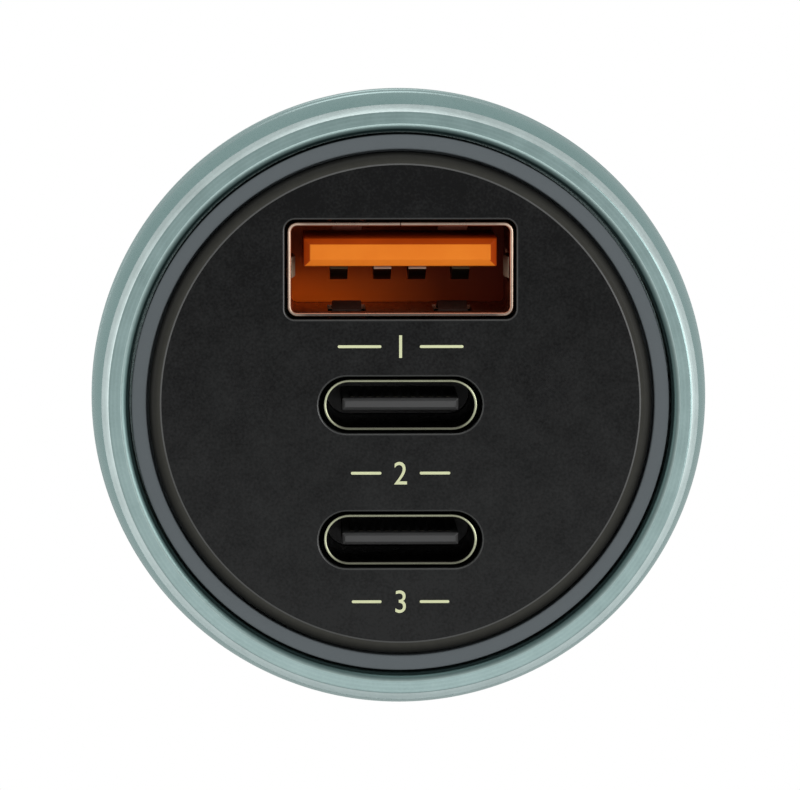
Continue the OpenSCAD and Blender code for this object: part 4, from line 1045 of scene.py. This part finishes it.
# %% [markdown]
# ## USB-A tongue
#
# The tongue is a thick blade with a wide bevel round its front edge. It carries four contacts on
# its lower side. It is the same carried outline as the USB-C blade, with its own sizes, and the
# base fills the shell so that no dark line shows between them.

# %% USB-A tongue
TONGUE_W, TONGUE_H, TONGUE_UP, TONGUE_BEVEL = 11.1, 1.64, 0.12, 0.36
TONGUE_BASE_PLAY, TONGUE_BASE_CORNER = 0.04, 0.33
tongue_front = ends("usb_a_tongue", 1)[0]
tongue_low = USB_A_UP + TONGUE_UP
blade = blade_rows(TONGUE_W, TONGUE_H, tongue_front, TONGUE_BEVEL, tongue_low + TONGUE_H / 2)
base = base_rows(USB_A_W - TONGUE_BASE_PLAY, USB_A_H - TONGUE_BASE_PLAY, TONGUE_BASE_CORNER, USB_A_UP)
tongue = dress(piece("usb_a_blade", [blade, base]), "charger", ["usb_a_tongue"], ORANGE)
deep, above, aside = tongue_front + TONGUE_BEVEL, tongue_low + TONGUE_BEVEL, TONGUE_W / 2 - TONGUE_BEVEL
# painted shade: the tongue's bevels and faces inside the port
paint(tongue, SHADED_ORANGE, lambda r, y, x, z: (y > tongue_front + 2 * HAIR)
      & ((z > above) | (y > deep) | (abs(x) > aside)))
# painted light: the deep base is lit only at its lower left
paint(tongue, BASE_ORANGE, lambda r, y, x, z: (y > BASE_FRONT - 10 * HAIR)
      & (abs(z - USB_A_UP) < USB_A_H / 2))

# %% [markdown]
# ## Tip
#
# The tip is the plug's positive contact: a plated pin with a domed end, a flange that keeps it in
# the nose, and a foot on which its spring sits. It is turned, so it is a profile again. The
# dome could be a sphere, but a flattened one wears a socket less: a quarter ellipse ends the
# profile.

# %% Tip
BRIGHT_METAL = brushed_metal("bright_nickel", (0.50, 0.49, 0.46), (0.34, 0.33, 0.31), 0.26, 0.3)
TIP_R, TIP_DOME, TIP_TURNS = 3.2, 2.2, 96
FOOT_R, FOOT_LEN, FOOT_SLOPE, FLANGE_T, NECK = 3.3, 1.6, 0.15, 1.4, 0.5
TIP_FLANGE_R = ends("tip_contact", 0)[1]
tip_foot, tip_end = ends("tip_contact", 1)
flange_from, flange_back = tip_foot + FOOT_LEN, tip_foot + FOOT_LEN + FLANGE_T
dome_t = np.linspace(0, np.pi / 2, 16)
dome = np.stack([TIP_R * np.cos(dome_t), tip_end - TIP_DOME + TIP_DOME * np.sin(dome_t)], -1)
shank = eased([[0, tip_foot], [FOOT_R - FOOT_SLOPE, tip_foot], [FOOT_R, flange_from],
               [TIP_FLANGE_R, flange_from], [TIP_FLANGE_R, flange_back], [TIP_R, flange_back],
               [TIP_R, flange_back + NECK]], [0, 0.2, 0.1, 0.15, 0.15, 0.1, 0], closed=False)
tip = piece("tip_pin", [turned(np.concatenate([shank, dome]), TIP_TURNS)])
dress(tip, "tip", ["tip_contact"], BRIGHT_METAL)

# %% [markdown]
# ## Nose cap
#
# The nose is a black moulding pressed into the barrel. It guides the tip in a tube, and its
# outside is a blunt ogive that leads the plug into the socket. It is one profile again, from the
# tip's chamber forward through the mouth, back over the curve and round the skirt in the
# barrel. Two notches in the skirt make room for the rolled ends of the side contacts.

# %% Profile of the nose
MOULDED_BLACK = grained_plastic("moulded_black", (0.012, 0.012, 0.013), 0.5, level=0.2)
TIP_PLAY, MOUTH_T, TUBE_T, TUBE_BACK, NOSE_R = 0.1, 2.5, 1.0, 0.85, 5.4
NOSE_SLIM, CURVE_GAP, COLLAR_EASE, SKIRT_WALL, WEB = 0.4, 1.0, 0.2, 2.0, 1.5
nose_from, NOSE_END = ends("nose_cap", 1)
CHAMBER_R, TIP_BORE_R = TIP_FLANGE_R + TIP_PLAY, TIP_R + TIP_PLAY
TUBE_R, TUBE_FROM, MOUTH = CHAMBER_R + TUBE_T, nose_from + TUBE_BACK, NOSE_END - MOUTH_T
SKIRT_OUT_R = BORE_R - TIP_PLAY
SKIRT_IN_R = SKIRT_OUT_R - SKIRT_WALL
CURVE_FROM, WEB_AT = BODY_BACK + CURVE_GAP, BODY_BACK - WEB
curve_t = np.linspace(0, np.pi / 2, 28)
ogive = np.stack([NOSE_R + (SLIM_R - NOSE_SLIM - NOSE_R) * np.sin(curve_t),
                  CURVE_FROM + (NOSE_END - CURVE_FROM) * np.cos(curve_t)], -1)
mouth = eased([[CHAMBER_R, TUBE_FROM], [CHAMBER_R, MOUTH], [TIP_BORE_R, MOUTH],
               [TIP_BORE_R, NOSE_END], ogive[0]], [0, 0.2, 0.1, 0.4, 0], closed=False)
flange = eased([ogive[-1], [SLIM_R, CURVE_FROM - COLLAR_EASE], [SLIM_R, BODY_BACK],
                [SKIRT_OUT_R, BODY_BACK], [SKIRT_OUT_R, nose_from], [SKIRT_IN_R, nose_from],
                [SKIRT_IN_R, WEB_AT], [TUBE_R, WEB_AT], [TUBE_R, TUBE_FROM]],
               [0, 0.12, 0.08, 0.1, 0.3, 0.1, 0.2, 0.2, 0], closed=False)
nose = np.concatenate([mouth, ogive[1:-1], flange])
print("profile of the nose:", len(nose), "points, end at", round(NOSE_END, 2))

# %% Nose with its notches
NOSE_TURNS = 192
PIVOT_X, PIVOT_Y, ROLL_R, SIDE_W = 8.503, 38.0, 0.55, 4.0
NOTCH_W, NOTCH_L, NOTCH_H, NOTCH_PLAY, NOTCH_PAST = 3.0, 7.8, SIDE_W + 0.2, 0.05, 0.6
notch_x, notch_y = PIVOT_X - ROLL_R - NOTCH_PLAY + NOTCH_W / 2, PIVOT_Y + NOTCH_PAST - NOTCH_L / 2
cap = piece("nose_moulding", [turned(nose, NOSE_TURNS)])
cut_boxes(cap, [((side * notch_x, notch_y, 0), (NOTCH_W, NOTCH_L, NOTCH_H)) for side in (-1, 1)])
dress(cap, "charger", ["nose_cap"], MOULDED_BLACK)

# %% [markdown]
# ## Side contacts
#
# The side contacts earth the plug. Each is a strip of plated spring metal, which bows out of its
# slot, swings on a rolled end in the nose and is pressed in by the socket. The bow is a sine
# squared, which leaves the barrel without a kink at both ends. The strip is carried along that
# path as the fingers are, and the left one is the right one mirrored.

# %% Side contacts
SIDE_T, BORE_PLAY, CREST_OUT, SIDE_CORNER = 0.4, 0.08, 1.0, 0.1
BOW_SET, TAIL, TAIL_END, TAIL_IN, ROLL_STEPS = 0.5, 2.4, 3.0, 0.25, 32
side_x = math.sqrt((BORE_R - BORE_PLAY) ** 2 - (SIDE_W / 2) ** 2) - SIDE_T / 2
crest_x = BARREL_R + CREST_OUT - SIDE_T / 2
u = np.linspace(0, 1, 49)
bow = np.stack([side_x + (crest_x - side_x) * np.sin(np.pi * u) ** 2,
                SLOT_TO - BOW_SET - (SLOT_TO - SLOT_FROM - 2 * BOW_SET) * u], -1)
strip_path = np.concatenate([[[side_x, PIVOT_Y], [side_x, SLOT_TO]], bow,
                             [[side_x, SLOT_FROM - TAIL], [side_x - TAIL_IN, SLOT_FROM - TAIL_END]]])
roll_flat = circle(ROLL_R, ROLL_STEPS) + [PIVOT_X, PIVOT_Y]
roll_ends = [np.insert(roll_flat, 2, z, axis=1) for z in (-SIDE_W / 2, SIDE_W / 2)]
roll = grid(np.stack(roll_ends), caps=True)
strip = banked(strip_path, SIDE_W, SIDE_T, SIDE_CORNER)
for side, name in ((-1, "left"), (1, "right")):
    parts = [(points.reshape(-1, 3) * [side, 1, 1], faces) for points, faces in (strip, roll)]
    made = piece(f"side_strip_{name}", parts)
    dress(made, f"side_contact_{name}", [f"ground_spring_{name}"], BRIGHT_METAL)

# %% [markdown]
# ## Tip spring
#
# A coil of wire pushes the tip out. Its end turns lie closer than those between, so that it
# stands square. A Screw modifier would give it one pitch all along. As a formula the wire's
# circle is carried along a helix whose rise slows down at both ends.

# %% Tip spring
WIRE_R, COILS, WIRE_STEPS, COIL_STEPS, END_CLOSE, TRAVEL = 0.3, 6.5, 14, 40, 25 / 360, 3.0
wire_low, wire_high = ends("tip_spring", 1)
coil_r = ends("tip_spring", 0)[1]
u = np.linspace(0, 1, int(COIL_STEPS * COILS))
angle = (2 * np.pi * COILS * u)[:, None]
rise = u - np.sin(2 * np.pi * u) * END_CLOSE
centre = (wire_high - WIRE_R - (wire_high - wire_low - 2 * WIRE_R) * rise)[:, None]
wire = circle(WIRE_R, WIRE_STEPS)
radius = coil_r - WIRE_R + wire[None, :, 0]
helix = np.stack([radius * np.cos(angle), centre + wire[None, :, 1], radius * np.sin(angle)], -1)
spring = piece("tip_helix", [grid(helix, caps=True)])
dress(spring, "charger", ["tip_spring"], BRIGHT_METAL)
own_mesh(spring)

# %% [markdown]
# ## Nodes that stay
#
# The boards, the parts on them and the contacts in the ports are right as the CAD model has
# them. They could be built again here, but nothing that shows would change. Each gets a finish
# of its own instead: green boards, black chips, grey ferrite, bright cans, bronze contacts. The
# USB-A contacts lie in the shade of the tongue, which is painted as a very dark bronze. The two
# middle ones come forward into the light, and a ramp over the depth paints a highlight on their
# front edges.

# %% Finishes for the inside
def shaded_glinting_bronze():
    """Bronze darkened as painted shade, with a painted highlight on its front edge within a few hundredths of
    a millimetre.
    """
    finish = Finish("shaded_glinting_bronze", Metallic=1.0, Roughness=0.3)
    edge_glint = finish.painted_edge_glint(ends("usb_a_contact_2", 1)[0], 1.5 * HAIR)
    finish.set(Base_Color=finish.mix(edge_glint, (0.08, 0.065, 0.04), (0.55, 0.46, 0.36)))
    return finish.done()


SHADED_GLINTING_BRONZE = shaded_glinting_bronze()
# Painted shade: the outer USB-A contacts are very dark bronze, as in the shade of the tongue
SHADED_BRONZE_METAL = brushed_metal("shaded_bronze_contact", (0.10, 0.085, 0.05), (0.05, 0.04, 0.025), 0.35, 0.2)
DARK_BRONZE = brushed_metal("dark_bronze", (0.022, 0.019, 0.014), (0.012, 0.011, 0.009), 0.4, 0.2)
GOLD_METAL = brushed_metal("gold_contact", (0.88, 0.66, 0.30), (0.70, 0.50, 0.20), 0.28, 0.2)

# %% Plastic, ceramic and board: colour, roughness, mottle and the nodes that wear it
INSIDE = {
    "board_green": ((0.01, 0.07, 0.035), 0.4, 0.25, "port_board", "main_board"),
    "chip_black": ((0.02, 0.02, 0.022), 0.5, 0.25, "converter_chip_1", "converter_chip_2",
                   "protocol_chip", "power_transistors"),
    "ferrite_grey": ((0.07, 0.07, 0.075), 0.6, 0.25, "inductor_1", "inductor_2"),
    "ceramic_tan": ((0.45, 0.33, 0.20), 0.4, 0.25, "ceramic_capacitors"),
    "pale_ceramic": ((0.70, 0.65, 0.55), 0.45, 0.25, "fuse"),
    "sleeve_blue": ((0.03, 0.035, 0.08), 0.3, 0.25, "input_capacitor"),
    "amber_film": ((0.55, 0.40, 0.10), 0.3, 0.1, "insulating_sleeve"),
    "light_chip": ((0.85, 0.80, 0.35), 0.4, 0.1, "led_chips")}
WEARS = [(grained_plastic(name, colour, roughness, mottle=mottle), *wearers)
         for name, (colour, roughness, mottle, *wearers) in INSIDE.items()]

# %% Metal, and every node in its finish
WEARS += [
    (MOULDED_BLACK, "board_carrier"), (GOLD_METAL, "spring_seat"),
    (BRIGHT_METAL, "output_capacitor_1", "output_capacitor_2"),
    (SHADED_BRONZE_METAL, "usb_a_contact_1", "usb_a_contact_4"),
    (SHADED_GLINTING_BRONZE, "usb_a_contact_2", "usb_a_contact_3"),
    (DARK_BRONZE, *[f"usb_c_{level}_{part}" for level in USB_C_UPS for part in ("midplate", "contacts")])]
for finish, *wearers in WEARS:
    for name in wearers:
        nodes[name].data.materials.clear()
        nodes[name].data.materials.append(finish)
print(sum(len(wearers) for _, *wearers in WEARS), "nodes keep their shape and get a finish")

# %% [markdown]
# ## Floor and room
#
# The plug is shown as in a product photo: white all round, with only a soft shadow. More light
# would make the room white but bleach the plug. So the world is white only for rays that the
# camera sends, also by way of metal or glass, and a soft blue-grey for the light that falls on
# the plug. The pale floor lies 60 mm below it, which catches the shadow in views from above,
# and fades to the room's white towards its edge.

# %% Floor
FLOOR, FLOOR_R, FLOOR_STEPS = -60.0, 150.0, 96
FADE_SLOPE, FADE_FROM, LEAST_WHITE = 1.6, 0.6, 0.3
WHITE = (1.0, 1.0, 1.0)


def for_the_eye(tree):
    """1 for rays from the camera, and for those that a metal or a glass sends on."""
    rays = [tree.node("LightPath", output=f"Is {kind} Ray") for kind in ("Camera", "Glossy", "Transmission")]
    return (rays[0] + rays[1] + rays[2]).clamped()


disc = circle(FLOOR_R, FLOOR_STEPS)
floor = piece("floor", [(np.insert(disc, 2, FLOOR, axis=1), [list(range(len(disc)))])])
pale = Finish("pale_floor", Base_Color=(0.8, 0.8, 0.8), Roughness=1.0, Specular_IOR_Level=0.0)
reach = pale.node("VectorMath", {"operation": "LENGTH"}, output="Value", Vector=pale.place())
fade = (reach * (FADE_SLOPE / (FLOOR_R * MM)) - FADE_FROM).clamped()
white = pale.node("Emission", Color=WHITE, Strength=1.0)
seen = for_the_eye(pale) * (fade + LEAST_WHITE).clamped()
both = pale.node("MixShader", at=(seen, Wire(pale.tree, pale.shader.outputs[0]), white))
pale.feed(pale.tree.nodes["Material Output"].inputs["Surface"], both)
floor.data.materials.append(pale.done())

# %% Room
ROOM_TONE, ROOM_POWER = (0.93, 0.97, 1.0), 0.38
world = bpy.data.worlds.new("soft_room")
bpy.context.scene.world = world
world.use_nodes = True
room = Tree(world.node_tree)
world.node_tree.nodes.remove(world.node_tree.nodes["Background"])
soft = room.node("Background", Color=ROOM_TONE, Strength=ROOM_POWER)
white = room.node("Background", Color=WHITE, Strength=1.0)
both = room.node("MixShader", at=(for_the_eye(room), soft, white))
room.feed(world.node_tree.nodes["World Output"].inputs["Surface"], both)
print("room:", len(world.node_tree.nodes), "nodes")

# %% [markdown]
# ## Lamps
#
# A product photo is lit with soft boxes: here one above, one at each side and a small one low
# in front, which fills the shadows. The strongest stands in front on the right and shines into
# the ports. Small lamps would leave hard glints on the metal, so all are large squares that
# stand a few plug lengths away, and their power is kept so low that colours render as written.

# %% Soft boxes: place in mm, watts and size in mm
HEAD_MIDDLE = Vector((0, -15, 0))
LAMPS = {"top_box": ((-40, -60, 430), 0.62, 340), "left_box": ((-430, -120, 60), 0.45, 340),
         "right_box": ((430, -120, 40), 0.45, 340), "low_front": ((0, -430, -170), 0.16, 150),
         "front_right": ((330, -460, 60), 1.0, 260)}
for name, (place, watts, size) in LAMPS.items():
    data = bpy.data.lights.new(name, "AREA")
    data.energy, data.shape, data.size = watts, "SQUARE", size * MM
    box = bpy.data.objects.new(name, data)
    box.location = Vector(place) * MM
    box.rotation_euler = (HEAD_MIDDLE - Vector(place)).to_track_quat("-Z", "Y").to_euler()
    bpy.context.scene.collection.objects.link(box)
    print(name, watts, "W")

# %% [markdown]
# ## Camera
#
# The photo looks almost straight at the face, from a little above and to one side, through a
# long lens. Its scale is known from the ports: 17.45 pixels per millimetre at the face. The
# camera could be moved until the picture fits. It is worked out instead: the distance is
# chosen, and the focal length follows from distance and scale.

# %% Camera
FRAME_W, FRAME_H = 800, 790
FACE_AT = (400.6, 404.0)
SCALE, DISTANCE, SENSOR = 17.45, 350.0, 36.0
AZIMUTH, ELEVATION = math.radians(-1.2), math.radians(5.0)
level = math.cos(ELEVATION)
away = Vector((math.sin(AZIMUTH) * level, -math.cos(AZIMUTH) * level, math.sin(ELEVATION)))
lens = bpy.data.cameras.new("camera")
lens.sensor_width = SENSOR
lens.lens = SENSOR * DISTANCE * SCALE / FRAME_W
lens.clip_start, lens.clip_end = 0.01, 10.0
lens.shift_x = (FRAME_W / 2 - FACE_AT[0]) / FRAME_W
lens.shift_y = (FACE_AT[1] - FRAME_H / 2) / FRAME_W
camera = bpy.data.objects.new("camera", lens)
camera.location = (Vector((0.0, FACE, 0.0)) + away * DISTANCE) * MM
camera.rotation_euler = (-away).to_track_quat("-Z", "Y").to_euler()
bpy.context.scene.collection.objects.link(camera)
bpy.context.scene.camera = camera
bpy.context.scene.view_settings.view_transform = "Standard"
print("focal length", round(lens.lens), "mm")
